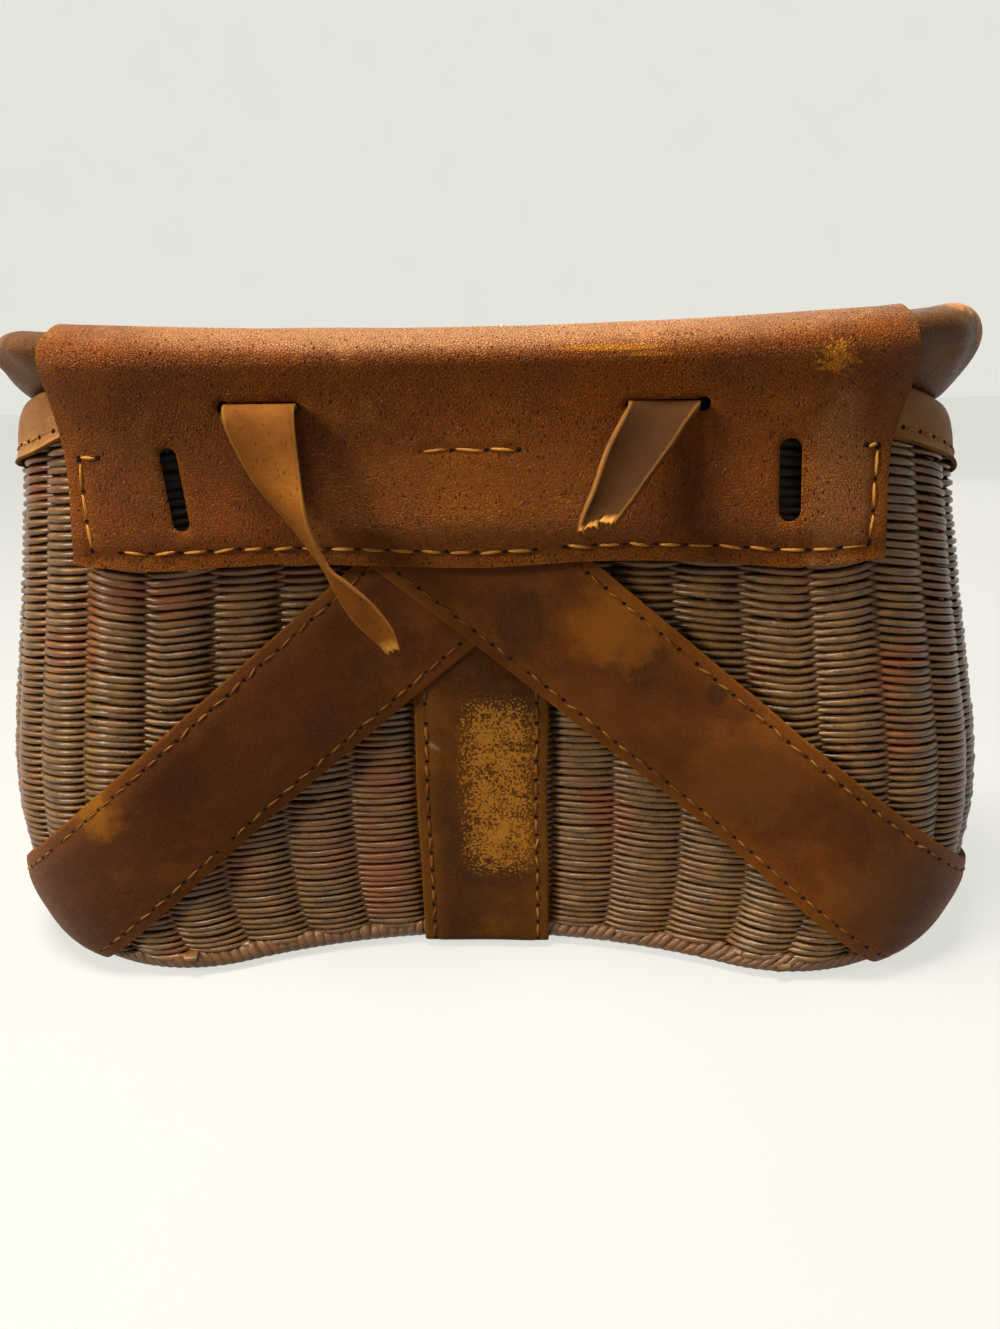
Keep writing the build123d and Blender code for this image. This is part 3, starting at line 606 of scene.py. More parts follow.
def weave_place(first_rod, rods):
    lines = rods * (CORNERS + 1) - 1

    def place(u, v):
        line = np.rint(v * lines)
        rod, corner = first_rod + line // (CORNERS + 1), (line % (CORNERS + 1)).astype(int) % CORNERS
        way = 2 * u - 1
        stake = np.floor(way * BAYS / 2 + 1e-9)
        swing = np.sin(np.pi * way * BAYS / 2) * np.where(rod % 2 == 0, 1, -1)
        near = np.abs(swing)
        over = np.sign(swing) * near**0.75
        x_here, y_here, _, _ = ring(body_at(row_height(rod, 0.0)), way)
        pitch = row_height(rod + 0.5, x_here, y_here) - row_height(rod - 0.5, x_here, y_here)
        z = row_height(rod + row_jitter[rod.astype(int)], x_here, y_here) + 0.8 * soft_waves(x_here, row_height(rod, 0.0))
        z = z + pitch * near * (0.22 * chance(rod, stake, 0) + 0.16 * np.cos(np.pi * way * BAYS / 2) * chance(rod, stake, 1))
        tall = pitch * (0.58 + 0.2 * near * (1 + 0.4 * chance(rod, stake, 2))) * row_weight[rod.astype(int)]
        thick = ROD_HALF * (1 + 0.2 * chance(rod, stake, 3))
        out = -WALL / 2 + (WALL / 2 - ROD_HALF + 0.25 * chance(rod, stake, 4) * near) * over + thick * SECTION[corner, 0]
        z = z + tall * SECTION[corner, 1]
        x, y, _, _ = ring(body_at(z), way, out)
        return x, y, z

    def between_rods(u, v):
        return np.floor(v * lines) % (CORNERS + 1) == CORNERS

    def notes(u, v):
        rod = first_rod + np.rint(v * lines) // (CORNERS + 1)
        return {"along": (2 * u - 1) * BAYS / 2, "rod": rod * 1.0}

    return lines, place, between_rods, notes


BANDS = (("weave_low", 0, 48), ("weave_middle", 48, 97), ("weave_high", 97, ROWS))
for name, start, stop in BANDS:
    lines, place, between_rods, notes = weave_place(start, stop - start)
    bm = bent_grid(BAYS * STEPS, lines, place, drop=between_rods, notes=notes)
    bmesh.ops.recalc_face_normals(bm, faces=bm.faces)
    made_piece(name, bm, [wall_willow], "basket", ["body_weave"])

# %% Stakes
STAKE_R, STAKE_CORNERS = 2.1, 6


def stake_place(u, v):
    line = np.rint(u * (BAYS * (STAKE_CORNERS + 1) - 1))
    stake, corner = line // (STAKE_CORNERS + 1), line % (STAKE_CORNERS + 1)
    way = (stake + 0.5) * 2 / BAYS - 1
    turn = 2 * np.pi * corner / STAKE_CORNERS
    x_here = ring(body_at(150.0), way)[0]
    z = 4.0 + (rim_at(x_here) - 7.0) * v
    x, y, nx, ny = ring(body_at(z), way, -WALL / 2 + STAKE_R * np.cos(turn))
    aside = STAKE_R * np.sin(turn)
    return x - ny * aside, y + nx * aside, z


def between_stakes(u, v):
    return np.floor(u * (BAYS * (STAKE_CORNERS + 1) - 1)) % (STAKE_CORNERS + 1) == STAKE_CORNERS


bm = bent_grid(BAYS * (STAKE_CORNERS + 1) - 1, 22, stake_place, drop=between_stakes,
               notes=lambda u, v: {"along": v * 8, "rod": np.floor(u * BAYS) + 400})
bmesh.ops.recalc_face_normals(bm, faces=bm.faces)
made_piece("stakes", bm, [inner_willow], "basket")

# %% [markdown]
# ## The foot and the base
# A creel's foot ends in a border: the stakes turn down and tuck into each other, so the foot shows a row
# of short leaning ribs. The base is a mat of the same weave. Both are made like the wall, as one grid
# whose lines roll up into rods, and for the same reason.

# %% Foot border
RIBS = 240
RIB_R = 2.6
RIB_LEAN = 1.8


def rods_from(count, corners, along_points, centre, across_a, across_b, rod_first, body, name, material, node,
              notes=None):
    """Many closed rods from one grid. centre and the two half-thickness vectors are functions of rod and v."""
    lines = count * (corners + 1) - 1

    def place(u, v):
        line = np.rint(u * lines)
        rod, turn = line // (corners + 1), 2 * np.pi * (line % (corners + 1)) / corners
        x, y, z = centre(rod, v)
        ax, ay, az = across_a(rod, v)
        bx, by, bz = across_b(rod, v)
        c, s = np.cos(turn), np.sin(turn)
        return x + ax * c + bx * s, y + ay * c + by * s, z + az * c + bz * s

    def between(u, v):
        return np.floor(u * lines) % (corners + 1) == corners

    bm = bent_grid(lines, along_points, place, drop=between, notes=lambda u, v: {
        "along": v * 4.0 + np.rint(u * lines) * 0.37, "rod": rod_first + np.rint(u * lines) // (corners + 1)})
    bmesh.ops.holes_fill(bm, edges=[e for e in bm.edges if e.is_boundary], sides=corners)
    bmesh.ops.recalc_face_normals(bm, faces=bm.faces)
    return made_piece(name, bm, [material], body, node)


rib_jitter = rng.normal(0, 0.35, (RIBS + 2, 3))


def rib_way(rod):
    return (rod + 0.5 + 0.25 * rib_jitter[rod.astype(int), 0]) * 2 / RIBS - 1


def rib_centre(rod, v):
    z = 2.9 + (6.6 + rib_jitter[rod.astype(int), 1]) * v
    x, y, nx, ny = ring(body_at(z), rib_way(rod), -2.6 + 1.6 * np.sin(np.pi * v))
    slip = RIB_LEAN * (v - 0.5)
    return x - ny * slip, y + nx * slip, z


def rib_out(rod, v):
    _, _, nx, ny = ring(body_at(6.0), rib_way(rod))
    return 1.1 * nx, 1.1 * ny, 0 * nx


def rib_aside(rod, v):
    _, _, nx, ny = ring(body_at(6.0), rib_way(rod))
    return -RIB_R * ny, RIB_R * nx, 0 * nx


rods_from(RIBS, 6, 5, rib_centre, rib_out, rib_aside, 900, "basket", "foot_ribs", inner_willow, ["foot_border"])

# %% Woven mats: the base and the lid's panel
def inside_plan(shape, x, y, margin):
    """Whether a point is inside a kidney plan, less a margin."""
    ex, end, back_r, back_y, front_r, front_y, *_ = arcs(shape)
    back = np.hypot(x, y - back_y) > back_r + margin
    front = np.hypot(x, y - front_y) < front_r - margin
    ends = np.hypot(np.abs(x) - ex, y - end) < end - margin
    return np.where(np.abs(x) < ex, back & front, ends)


def woven_mat(name, shape, margin, middle_z, rod_r, pitch, stake_step, body, node, hole=None, first=0):
    half, _, front = shape
    rods = int(front / pitch)
    points = int(2 * half / stake_step) * 6

    def height(rod, x):
        return middle_z + rod_r * 1.05 * np.sin(np.pi * x / stake_step) * np.where(rod % 2 == 0, 1, -1)

    lines = rods * 6 - 1

    def place(u, v):
        line = np.rint(v * lines)
        rod, turn = line // 6, 2 * np.pi * (line % 6) / 5
        x = (2 * u - 1) * half
        near = np.abs(np.sin(np.pi * x / stake_step))
        y = (rod + 0.5) * pitch + (0.62 + 0.46 * near) * pitch * np.cos(turn)
        return x, y, height(rod, x) + rod_r * np.sin(turn)

    def drop(u, v):
        line = np.floor(v * lines)
        x, y = (2 * u - 1) * half, (line // 6 + 0.5) * pitch
        gone = (line % 6 == 5) | ~inside_plan(shape, x, y, margin)
        if hole:
            gone |= (np.abs(x) < hole[0] / 2) & (np.abs(y - hole[2]) < hole[1] / 2)
        return gone

    bm = bent_grid(points, lines, place, drop=drop, notes=lambda u, v: {
        "along": (2 * u - 1) * half / stake_step, "rod": first + np.rint(v * lines) // 6})
    bmesh.ops.recalc_face_normals(bm, faces=bm.faces)
    return made_piece(name, bm, [wall_willow], body, node)


BASE_SHAPE = (176.0, 26.3, 150.0)
LID_SHAPE = (173.0, 4.4, 150.0)
FISH_HOLE, FISH_HOLE_Y = (92.0, 36.0), 76.0
woven_mat("base_mat", BASE_SHAPE, 5, 7.0, 1.5, 3.1, 15.0, "basket", ["base_weave"], first=1300)
woven_mat("lid_mat", LID_SHAPE, 9, 232.8, 1.7, 3.1, 24.0, "lid", ["lid_panel"],
          hole=(FISH_HOLE[0] + 5, FISH_HOLE[1] + 5, FISH_HOLE_Y), first=1500)

# %% [markdown]
# ## Straps
# Two slanted straps and an upright one are sewn through the wall. A real strap is flat leather that takes
# the wall's shape. Each is cut from a cup of leather that already lies on the basket: two slanted cuts
# make its edges dead straight, also round the corner, where a strap drawn along a path would twist.
# The edges are pulled down by their stitches and the middle stands a little proud.

# %% Cut a strap from the cup
STRAP_W, STRAP_TILT, CROSS_Z, CROSS_TOP = 50.8, math.radians(40), 164.6, 174.0
LEATHER, GAP = 2.4, 0.3
SIN, COS = math.sin(STRAP_TILT), math.cos(STRAP_TILT)


def domed(off_middle, half, height=0.9, tuck=0.7):
    """A strap's cross-section: a low dome whose edges are pulled in by the stitches."""
    t = np.clip(np.abs(off_middle) / half, 0, 1.2)
    groove = np.exp(-((half - np.abs(off_middle) - 4.3) / 1.6)**2)
    return height * (1 - t**4) - tuck * np.clip(t - 0.86, 0, 1) / 0.14 - 0.55 * groove


def foot_tuck(z):
    """A strap turns under the foot with a small radius."""
    return -0.45 * np.clip(4.0 - z, 0, 4)**2


WALL_ROWS, UNDER_ROWS = 78, 14       # rows of a strap's cup on the wall and under the basket
CUP_FROM, CUP_TO = -0.13, 0.80       # how far round the basket a strap's cup goes
STRAP_END = 165.0                    # the straps end here on the front, measured along the strap


def off_line(side, x, z):
    """How far a point of the wall lies above a slanted strap's middle line."""
    return side * x * SIN + (z - CROSS_Z) * COS


def cross_strap(name, side, lift, node):
    rows = WALL_ROWS + UNDER_ROWS

    def place(u, v):
        row = v * rows
        z = np.clip((row - UNDER_ROWS) / WALL_ROWS, 0, 1) * (CROSS_TOP + 3)
        inward = np.clip(1 - row / UNDER_ROWS, 0, 1) * 42
        way = side * (CUP_FROM + (CUP_TO - CUP_FROM) * u)
        shape = body_at(z)
        base = GAP + LEATHER + lift * step_up(z, 61, 98) + foot_tuck(z) - inward
        x, y, _, _ = ring(shape, way, base)
        swell = domed(off_line(side, x, z), STRAP_W / 2) + 0.35 * soft_waves(x * 1.4, z * 1.3)
        x, y, _, _ = ring(shape, way, base + swell * (inward == 0))
        return x, y, z

    bm = bent_grid(150, rows, place)
    across = Vector((side * SIN, 0, COS))
    down = Vector((side * COS, 0, -SIN))
    crossing = Vector(spot(0, 0, CROSS_Z))

    def cut(point, normal, part=None):
        geom = part or [*bm.verts, *bm.edges, *bm.faces]
        bmesh.ops.bisect_plane(bm, geom=geom, plane_co=point, plane_no=normal, clear_outer=True)

    cut(crossing + across * STRAP_W / 2 * MM, across)
    cut(crossing - across * STRAP_W / 2 * MM, -across)
    cut(Vector(spot(0, 0, CROSS_TOP)), Vector((0, 0, 1)))
    front_side = BACK_Y + 78 * MM
    verts = [v for v in bm.verts if v.co.y > front_side]
    edges = [e for e in bm.edges if all(v.co.y > front_side for v in e.verts)]
    faces = [f for f in bm.faces if all(v.co.y > front_side for v in f.verts)]
    cut(crossing + down * STRAP_END * MM, -down, [*verts, *edges, *faces])
    layer = bm.verts.layers.float.new("edge")
    for vert in bm.verts:
        vert[layer] = STRAP_W / 2 - abs(across.dot(vert.co - crossing)) / MM
    sheet_piece(name, bm, strap_leather, "basket", node, LEATHER)
    return place


def face_outwards(bm, middle=(0, 75, 120)):
    """Turn a sheet's faces so that most of them look away from the creel's middle."""
    inside = Vector(spot(*middle))
    bm.normal_update()
    if sum(face.normal.dot(face.calc_center_median() - inside) * face.calc_area() for face in bm.faces) < 0:
        bmesh.ops.reverse_faces(bm, faces=bm.faces)


def sheet_piece(name, bm, face_material, body, node, thick, edge_round=0.5, middle=(0, 75, 120)):
    """A leather sheet: grain side out, flesh side in, pale cut edge."""
    face_outwards(bm, middle)
    piece = made_piece(name, bm, [face_material, flesh_side, cut_edge], body, node)
    solid = piece.modifiers.new("thickness", "SOLIDIFY")
    solid.thickness, solid.offset, solid.use_even_offset = thick * MM, -1, True
    solid.material_offset, solid.material_offset_rim = 1, 2
    if edge_round:
        bevel = piece.modifiers.new("soft edge", "BEVEL")
        bevel.width, bevel.segments, bevel.limit_method = edge_round * MM, 2, "ANGLE"
        bevel.angle_limit = math.radians(50)
    return piece


LOWER_LIFT, UPPER_LIFT = LEATHER + GAP, 2 * (LEATHER + GAP)
left_strap = cross_strap("strap_left", -1, LOWER_LIFT, ["cross_strap_left"])
right_strap = cross_strap("strap_right", 1, UPPER_LIFT, ["cross_strap_right"])

# %% Upright strap
CENTRE_TOP, CENTRE_FOOT = 207.0, 99.0


def front_line(shape, x, out):
    *_, front_r, front_y, _, _, _ = arcs(shape)
    return front_y + np.sqrt((front_r + out)**2 - x**2)


def centre_place(u, v):
    half = STRAP_W / 2
    x = (2 * u - 1) * half
    length = CENTRE_TOP + 126 + CENTRE_FOOT
    s = v * length
    back_z = np.clip(CENTRE_TOP - s, 0, None)
    front_z = np.clip(s - CENTRE_TOP - 126, 0, None)
    share = step_up(s, CENTRE_TOP, CENTRE_TOP + 126)
    swell = domed(x, half, 0.7) + 0.3 * soft_waves(x * 2, s)
    wavy = 0.5 * np.sin(back_z / 13.0) * step_up(back_z, 20, 90)
    back = back_line(body_at(back_z), x, GAP + LEATHER + foot_tuck(back_z) + swell * (share <= 0))
    front = front_line(body_at(front_z), x, GAP + LEATHER + foot_tuck(front_z) + swell * (share >= 1))
    y = np.where(share <= 0, back, np.where(share >= 1, front, back + (front - back) * share))
    return x + wavy, y, np.where(share <= 0, back_z, front_z)


bm = bent_grid(30, 240, centre_place,
               notes=lambda u, v: {"edge": STRAP_W / 2 * (1 - np.abs(2 * u - 1))})
sheet_piece("strap_centre", bm, centre_leather, "basket", ["centre_strap"], LEATHER)

# %% [markdown]
# ## The hinge flap
# One piece of thick leather is sewn to the back and goes up over the lid's rolled edge. It is both the
# cover of that edge and the hinge between basket and lid. It is drawn as one
# bent sheet, with its waist and its wide shoulders. The belt slots and the thongs' slits are real holes:
# faces are dropped and the border is pulled onto the slot's outline.

# %% Flap shape
# height, hollow of the plan and distance outside it, from the lower edge up and over the lid's edge
FLAP_KEYS = np.array([
    (159.0, 6.4, 3.9), (163.0, 6.2, 4.0), (176.0, 3.6, 5.8), (190.0, 3.6, 5.8), (205.0, 3.6, 5.9),
    (215.0, 4.0, 7.5), (222.0, 4.4, 9.4), (227.0, 4.4, 11.6), (232.0, 4.4, 12.9), (236.0, 4.4, 12.3),
    (239.5, 4.4, 9.6), (242.4, 4.4, 5.0), (244.5, 4.4, -1.0), (244.9, 4.4, -7.0)])
FLAP_WAY = np.concatenate([[0], np.cumsum(np.hypot(np.diff(FLAP_KEYS[:, 0]), np.diff(FLAP_KEYS[:, 1] - FLAP_KEYS[:, 2])))])
FLAP_TOP_LENGTH = 46.0
FLAP_LENGTH = FLAP_WAY[-1] + FLAP_TOP_LENGTH
FLAP_FRONT_Y = 54.0
FLAP_LEATHER = 2.6
LEFT_EDGE = [(159, 138.6), (165, 138.0), (190, 135.6), (204, 135.9), (214, 137.0), (224, 138.2), (230, 138.4),
             (237, 138.2), (243, 136.8), (246, 136.4)]
RIGHT_EDGE = [(159, 138.8), (165, 138.4), (190, 137.0), (201, 137.3), (210, 139.2), (218, 141.6), (226, 143.0),
              (235, 141.8), (243, 140.2), (246, 140.0)]
BOTTOM_EDGE = [(-142, 165.2), (-130, 164.5), (-116, 163.0), (-71, 164.1), (-39, 163.1), (2, 161.8), (44, 163.9),
               (79, 163.4), (108, 161.8), (128, 163.2), (142, 164.9)]
SLOTS = ((-99.3, 190.5, 28.0, 5.6, -5.0), (105.0, 190.8, 27.0, 7.0, -2.5))   # centre, length, width, lean
SLITS = ((-79.5, -54.5, 217.0, -1), (51.0, 76.0, 215.6, 1))                # ends, height, side of the hole
SLIT_H, SLIT_HOLE_R = 3.0, 2.3


def lid_lift(x, y):
    """The lid's top sags in the middle of the back and rises to its rolled ends."""
    near_back = 1 - step_up(y, 20, 90)
    sag = -3.9 * np.clip(1 - (x / 138)**2, 0, 1) * near_back
    ends = step_up(np.abs(x), 132, 172)
    return sag + ends * ends * (3 - 2 * ends) * np.where(x > 0, 4.5, 2.0)


def flap_height(v):
    return through(v * FLAP_LENGTH, FLAP_WAY, FLAP_KEYS[:, 0])


def flap_x(u, z):
    left, right = np.array(LEFT_EDGE), np.array(RIGHT_EDGE)
    low, high = -through(z, left[:, 0], left[:, 1]), through(z, right[:, 0], right[:, 1])
    return low + (high - low) * u


def flap_place(u, v):
    s = v * FLAP_LENGTH
    z, hollow, out = (through(s, FLAP_WAY, FLAP_KEYS[:, k]) for k in range(3))
    x = flap_x(u, z)
    foot = step_up(z, 159, 172)
    z = z + (1 - foot) * (through(x, *np.array(BOTTOM_EDGE).T) - 159)
    half = through(z, HEIGHTS, HALF_WIDTHS)
    end_curl = 0.9 * step_up(np.abs(x), 128, 142)**2 * step_up(z, 150, 200)
    bumps = 0.5 * soft_waves(x * 0.8, z * 1.5) + 0.35 * np.sin(x / 21.0) * (1 - foot)
    curl = 1.3 * np.exp(-np.clip(holes(x, z)[0], 0, 30) / 1.6)
    out = out + bumps - seam_dent(x, z) - end_curl - curl
    y = back_line((half, hollow, 150.0), x, out)
    over = step_up(s, FLAP_WAY[-1], FLAP_LENGTH)
    y = y + (FLAP_FRONT_Y - y) * over
    z = z + lid_lift(x, np.maximum(y, 0)) * step_up(z, 226, 243) + 0.4 * soft_waves(x, y * 2) * over
    return x, y, z


SEAM_LEFT, SEAM_RIGHT, SEAM_TOP = -130.2, 132.4, 201.0
SEAM_LINE = [(-131, 168.7), (-98, 168.1), (-71, 169.0), (-45, 168.1), (-12, 166.5), (10, 166.0), (32, 167.4),
             (49, 168.5), (83, 167.8), (117, 166.6), (133, 167.9)]
MIDDLE_SEAM = (-17.0, 16.4, 202.0)


def seam_height(x):
    return through(x, *np.array(SEAM_LINE).T)


def seam_dent(x, z):
    """The seams pull the leather in."""
    low = np.exp(-((z - seam_height(x)) / 1.5)**2) * (x > SEAM_LEFT - 2) * (x < SEAM_RIGHT + 2)
    off_side = np.minimum(np.abs(x - SEAM_LEFT), np.abs(x - SEAM_RIGHT))
    sides = np.exp(-(off_side / 1.5)**2) * step_up(SEAM_TOP + 2 - z, 0, 4) * (z > 165)
    middle = np.exp(-((z - MIDDLE_SEAM[2]) / 1.4)**2) * (x > MIDDLE_SEAM[0]) * (x < MIDDLE_SEAM[1])
    return 0.8 * np.maximum(np.maximum(low, sides), middle)


def pill(x, z, slot):
    """Distance outside a leaning slot, and the nearest place on its outline."""
    cx, cz, length, width, lean = slot
    ax, az = math.sin(math.radians(lean)), math.cos(math.radians(lean))
    dx, dz = x - cx, z - cz
    t = np.clip(dx * ax + dz * az, -(length - width) / 2, (length - width) / 2)
    px, pz = dx - t * ax, dz - t * az
    far = np.maximum(np.hypot(px, pz), 1e-6)
    return far - width / 2, cx + t * ax + px / far * width / 2, cz + t * az + pz / far * width / 2


def holes(x, z):
    """The belt slots and the two slits, each slit with a round hole at its outer end."""
    found = [pill(x, z, slot) for slot in SLOTS]
    for x0, x1, height, side in SLITS:
        found.append(pill(x, z, ((x0 + x1) / 2, height, x1 - x0, SLIT_H, 90.0)))
        end = x0 if side < 0 else x1
        found.append(pill(x, z, (end, height, 2 * SLIT_HOLE_R, 2 * SLIT_HOLE_R, 0.0)))
    far = np.stack([f[0] for f in found])
    pick = far.argmin(axis=0)
    places = [np.choose(pick, [f[k] for f in found]) for k in (1, 2)]
    return far.min(axis=0), *places


def flap_drop(u, v):
    z = flap_height(v)
    return holes(flap_x(u, z), z)[0] < 0


def flap_pull(flat, border):
    u, v = flat[:, 0], flat[:, 1]
    z = flap_height(v)
    x = flap_x(u, z)
    far, to_x, to_z = holes(x, z)
    near = border & (np.abs(far) < 3.0) & (u > 0.02) & (u < 0.98) & (v > 0.02) & (v < 0.98)
    ladder = np.linspace(0, 1, 2000)
    new_v = np.interp(to_z, flap_height(ladder), ladder)
    low, high = flap_x(np.zeros_like(z), to_z), flap_x(np.ones_like(z), to_z)
    new_u = (to_x - low) / (high - low)
    return np.stack([np.where(near, new_u, u), np.where(near, new_v, v)], axis=1)


def flap_notes(u, v):
    z = flap_height(v)
    x = flap_x(u, z)
    sides = np.minimum(x - flap_x(np.zeros_like(z), z), flap_x(np.ones_like(z), z) - x)
    edge = np.minimum(np.minimum(sides, v * FLAP_LENGTH), (1 - v) * FLAP_LENGTH)
    return {"edge": np.minimum(edge, np.clip(holes(x, z)[0] * 2.0, 0, 99))}


bm = bent_grid(240, 118, flap_place, drop=flap_drop, pull=flap_pull, notes=flap_notes)
flap = sheet_piece("hinge_flap", bm, flap_leather, None, ["flap_back", "flap_top"], FLAP_LEATHER)
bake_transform(flap)

# %% [markdown]
# ## The lid's roll and the rim's channel
# The lid's edge is a willow roll under leather. At the two ends it stands out beyond the flap like a
# horn. The rim of the basket has a leather channel. Both are profiles swept round the plan, which a
# bent grid gives at once, with the saddle of the rim and the raised ends added in the same formula.

# %% Lid roll
# distance outside the lid's plan and share of the height from the rim to the lid's top
ROLL_KEYS = np.array([
    (-12.2, 0.03), (-9.0, 0.0), (-6.0, 0.0), (-3.6, 0.04), (-0.4, 0.16), (3.4, 0.34), (6.4, 0.52), (7.6, 0.68),
    (6.8, 0.82), (4.4, 0.92), (1.0, 0.98), (-3.0, 1.0), (-8.0, 0.97), (-12.0, 0.86), (-12.6, 0.6),
    (-12.6, 0.25), (-12.2, 0.03)])
ROLL_T = np.linspace(0, 1, len(ROLL_KEYS))
LID_TOP = 242.0


def roll_place(u, v):
    out, share = through(v, ROLL_T, ROLL_KEYS[:, 0]), through(v, ROLL_T, ROLL_KEYS[:, 1])
    way = 2 * u - 1
    x, y, _, _ = ring(LID_SHAPE, way, out)
    low, high = rim_at(x, y) + 0.6, LID_TOP + lid_lift(x, y)
    ends = step_up(np.abs(x), 120, 165)
    creases = 0.7 * ends * np.sin(way * 110 + share * 5) * np.clip(np.sin(np.pi * share), 0, 1)**2 * (out > -8)
    short = ends * np.where(x < 0, 3.2, 0.0) * (0.3 + 0.7 * share)
    x, y, _, _ = ring(LID_SHAPE, way, out - short + creases + 0.5 * soft_waves(x, y * 1.3))
    return x, y, low + (high - low) * share


def bent_tube(columns, rows, place, notes=None):
    bm = bent_grid(columns, rows, place, notes=notes)
    bmesh.ops.recalc_face_normals(bm, faces=bm.faces)
    return bm


bm = bent_tube(360, 48, roll_place, notes=lambda u, v: {"edge": 60 + 0 * u})
made_piece("lid_roll", bm, [roll_leather], "lid", ["lid_binding", "lid_border"])

# %% Rim channel
RIM_KEYS = np.array([(2.6, 1.0), (2.0, 0.965), (1.5, 0.86), (1.3, 0.5), (0.3, 0.2), (-1.2, 0.06), (-3.0, 0.0),
                     (-5.0, -0.02), (-8.4, 0.0), (-9.8, 0.07), (-10.0, 0.3), (-10.0, 1.0)])
RIM_T = np.concatenate([[0], np.cumsum(np.hypot(np.diff(RIM_KEYS[:, 0]), 20 * np.diff(RIM_KEYS[:, 1])))])
RIM_START = 0.262                      # the channel ends under the flap


def channel_way(u):
    way = RIM_START + u * (2 - 2 * RIM_START)
    return np.where(way > 1, way - 2, way)


def channel_drop(x, y):
    """The leather is narrow beside the flap and wide round the ends and the front."""
    left, right = through(y, [0, 8, 25, 50], [15.3, 19.6, 21, 22]), through(y, [0, 8, 30, 50, 90], [18.3, 19.2, 20.7, 24.7, 22])
    return np.where(x < 0, left, right)


def channel_place(u, v):
    out, share = (through(v * RIM_T[-1], RIM_T, RIM_KEYS[:, k]) for k in (0, 1))
    way = channel_way(u)
    x, y, _, _ = ring(body_at(205.0 + 0 * way), way, out)
    z = rim_at(x, y) - share * (channel_drop(x, y) + 0.5 * soft_waves(x * 2, y))
    x, y, _, _ = ring(body_at(z), way, out + 0.3 * soft_waves(x * 2, z * 3))
    return x, y, z


bm = bent_grid(420, 34, channel_place, notes=lambda u, v: {
    "edge": np.minimum(v, 1 - v) * RIM_T[-1]})
sheet_piece("rim_channel", bm, channel_leather, "basket", ["rim_binding"], 1.6)

# %% Hoop inside the channel
def hoop_place(u, v):
    way, turn = 2 * u - 1, 2 * np.pi * v
    x, y, _, _ = ring(body_at(212.0 + 0 * u), way, -WALL / 2 + 2.4 * np.cos(turn))
    return x, y, rim_at(x, y) - 4.6 + 2.4 * np.sin(turn)


made_piece("rim_willow", bent_tube(220, 10, hoop_place, notes=lambda u, v: {"along": u * 30, "rod": 1800 + 0 * u}),
           [inner_willow], "basket", ["rim_hoop"])

# %% [markdown]
# ## Stitches
# Every seam is a row of waxed thread that dives into a hole at each end, and each hole is a small flat
# dark disc of painted shade. Each stitch is a short stretched ball, half sunk in the leather, and one row
# needs only the line of its seam. The lines are read off the same formulas as the sheets, so the stitches lie exactly
# on them.

# %% Sew
def on_sheet(place, u, v, middle=(0, 75, 120)):
    """Places and outward directions on a sheet, in millimetres."""
    step = 1e-4
    here = np.stack(place(u, v), axis=-1)
    side, up = np.stack(place(u + step, v), axis=-1) - here, np.stack(place(u, v + step), axis=-1) - here
    normal = np.cross(side, up)
    normal /= np.maximum(np.linalg.norm(normal, axis=1), 1e-12)[:, None]
    away = np.sign(np.sum(normal * (here - np.array(middle)), axis=1))
    return here, normal * away[:, None]


def sew(name, rows, material, body, pitch, share=0.62, radius=0.62, loose=0.12):
    """Thread, and small dark discs of painted shade for the holes, along each row of places and directions."""
    thread, hole = bmesh.new(), bmesh.new()
    for places, normals in rows:
        way = np.concatenate([[0], np.cumsum(np.linalg.norm(np.diff(places, axis=0), axis=1))])
        count = max(int(round(way[-1] / pitch)), 1)
        marks = np.linspace(0, way[-1], count + 1)
        at = [np.stack([np.interp(m, way, column[:, k]) for k in range(3)], axis=-1)
              for m, column in ((marks, places), (marks, normals))]
        for i in range(count + 1):
            up = Vector(at[1][i]).normalized()
            spin = up.to_track_quat("Z", "Y").to_matrix().to_4x4()
            where = Matrix.Translation(spot(*at[0][i]))
            # painted shade: a flat dark disc stands for the hole
            bmesh.ops.create_uvsphere(hole, u_segments=7, v_segments=4, radius=MM,
                                      matrix=where @ spin @ Matrix.Diagonal((1.1, 0.9, 0.3, 1)))
            if i == count or rng.random() < 0.03:
                continue
            along = Vector(at[0][i + 1] - at[0][i])
            reach = along.length * share * rng.uniform(0.9, 1.1) / 2
            tilt = along.normalized() + loose * rng.normal() * up.cross(along.normalized())
            turn = tilt.to_track_quat("X", "Z").to_matrix().to_4x4()
            middle = Vector((at[0][i] + at[0][i + 1]) / 2) + 0.16 * up
            thick = radius * rng.uniform(0.85, 1.15)
            bmesh.ops.create_uvsphere(thread, u_segments=6, v_segments=5, radius=MM,
                                      matrix=Matrix.Translation(spot(*middle)) @ turn
                                      @ Matrix.Diagonal((reach, thick, thick * 0.75, 1)))
    made_piece(name, thread, [material], body)
    made_piece(name + "_holes", hole, [hole_shade_material], body)


def flap_line(x, z):
    ladder = np.linspace(0, 1, 2000)
    v = np.interp(z, flap_height(ladder), ladder)
    low, high = flap_x(np.zeros_like(z), z), flap_x(np.ones_like(z), z)
    return on_sheet(flap_place, (x - low) / (high - low), v)


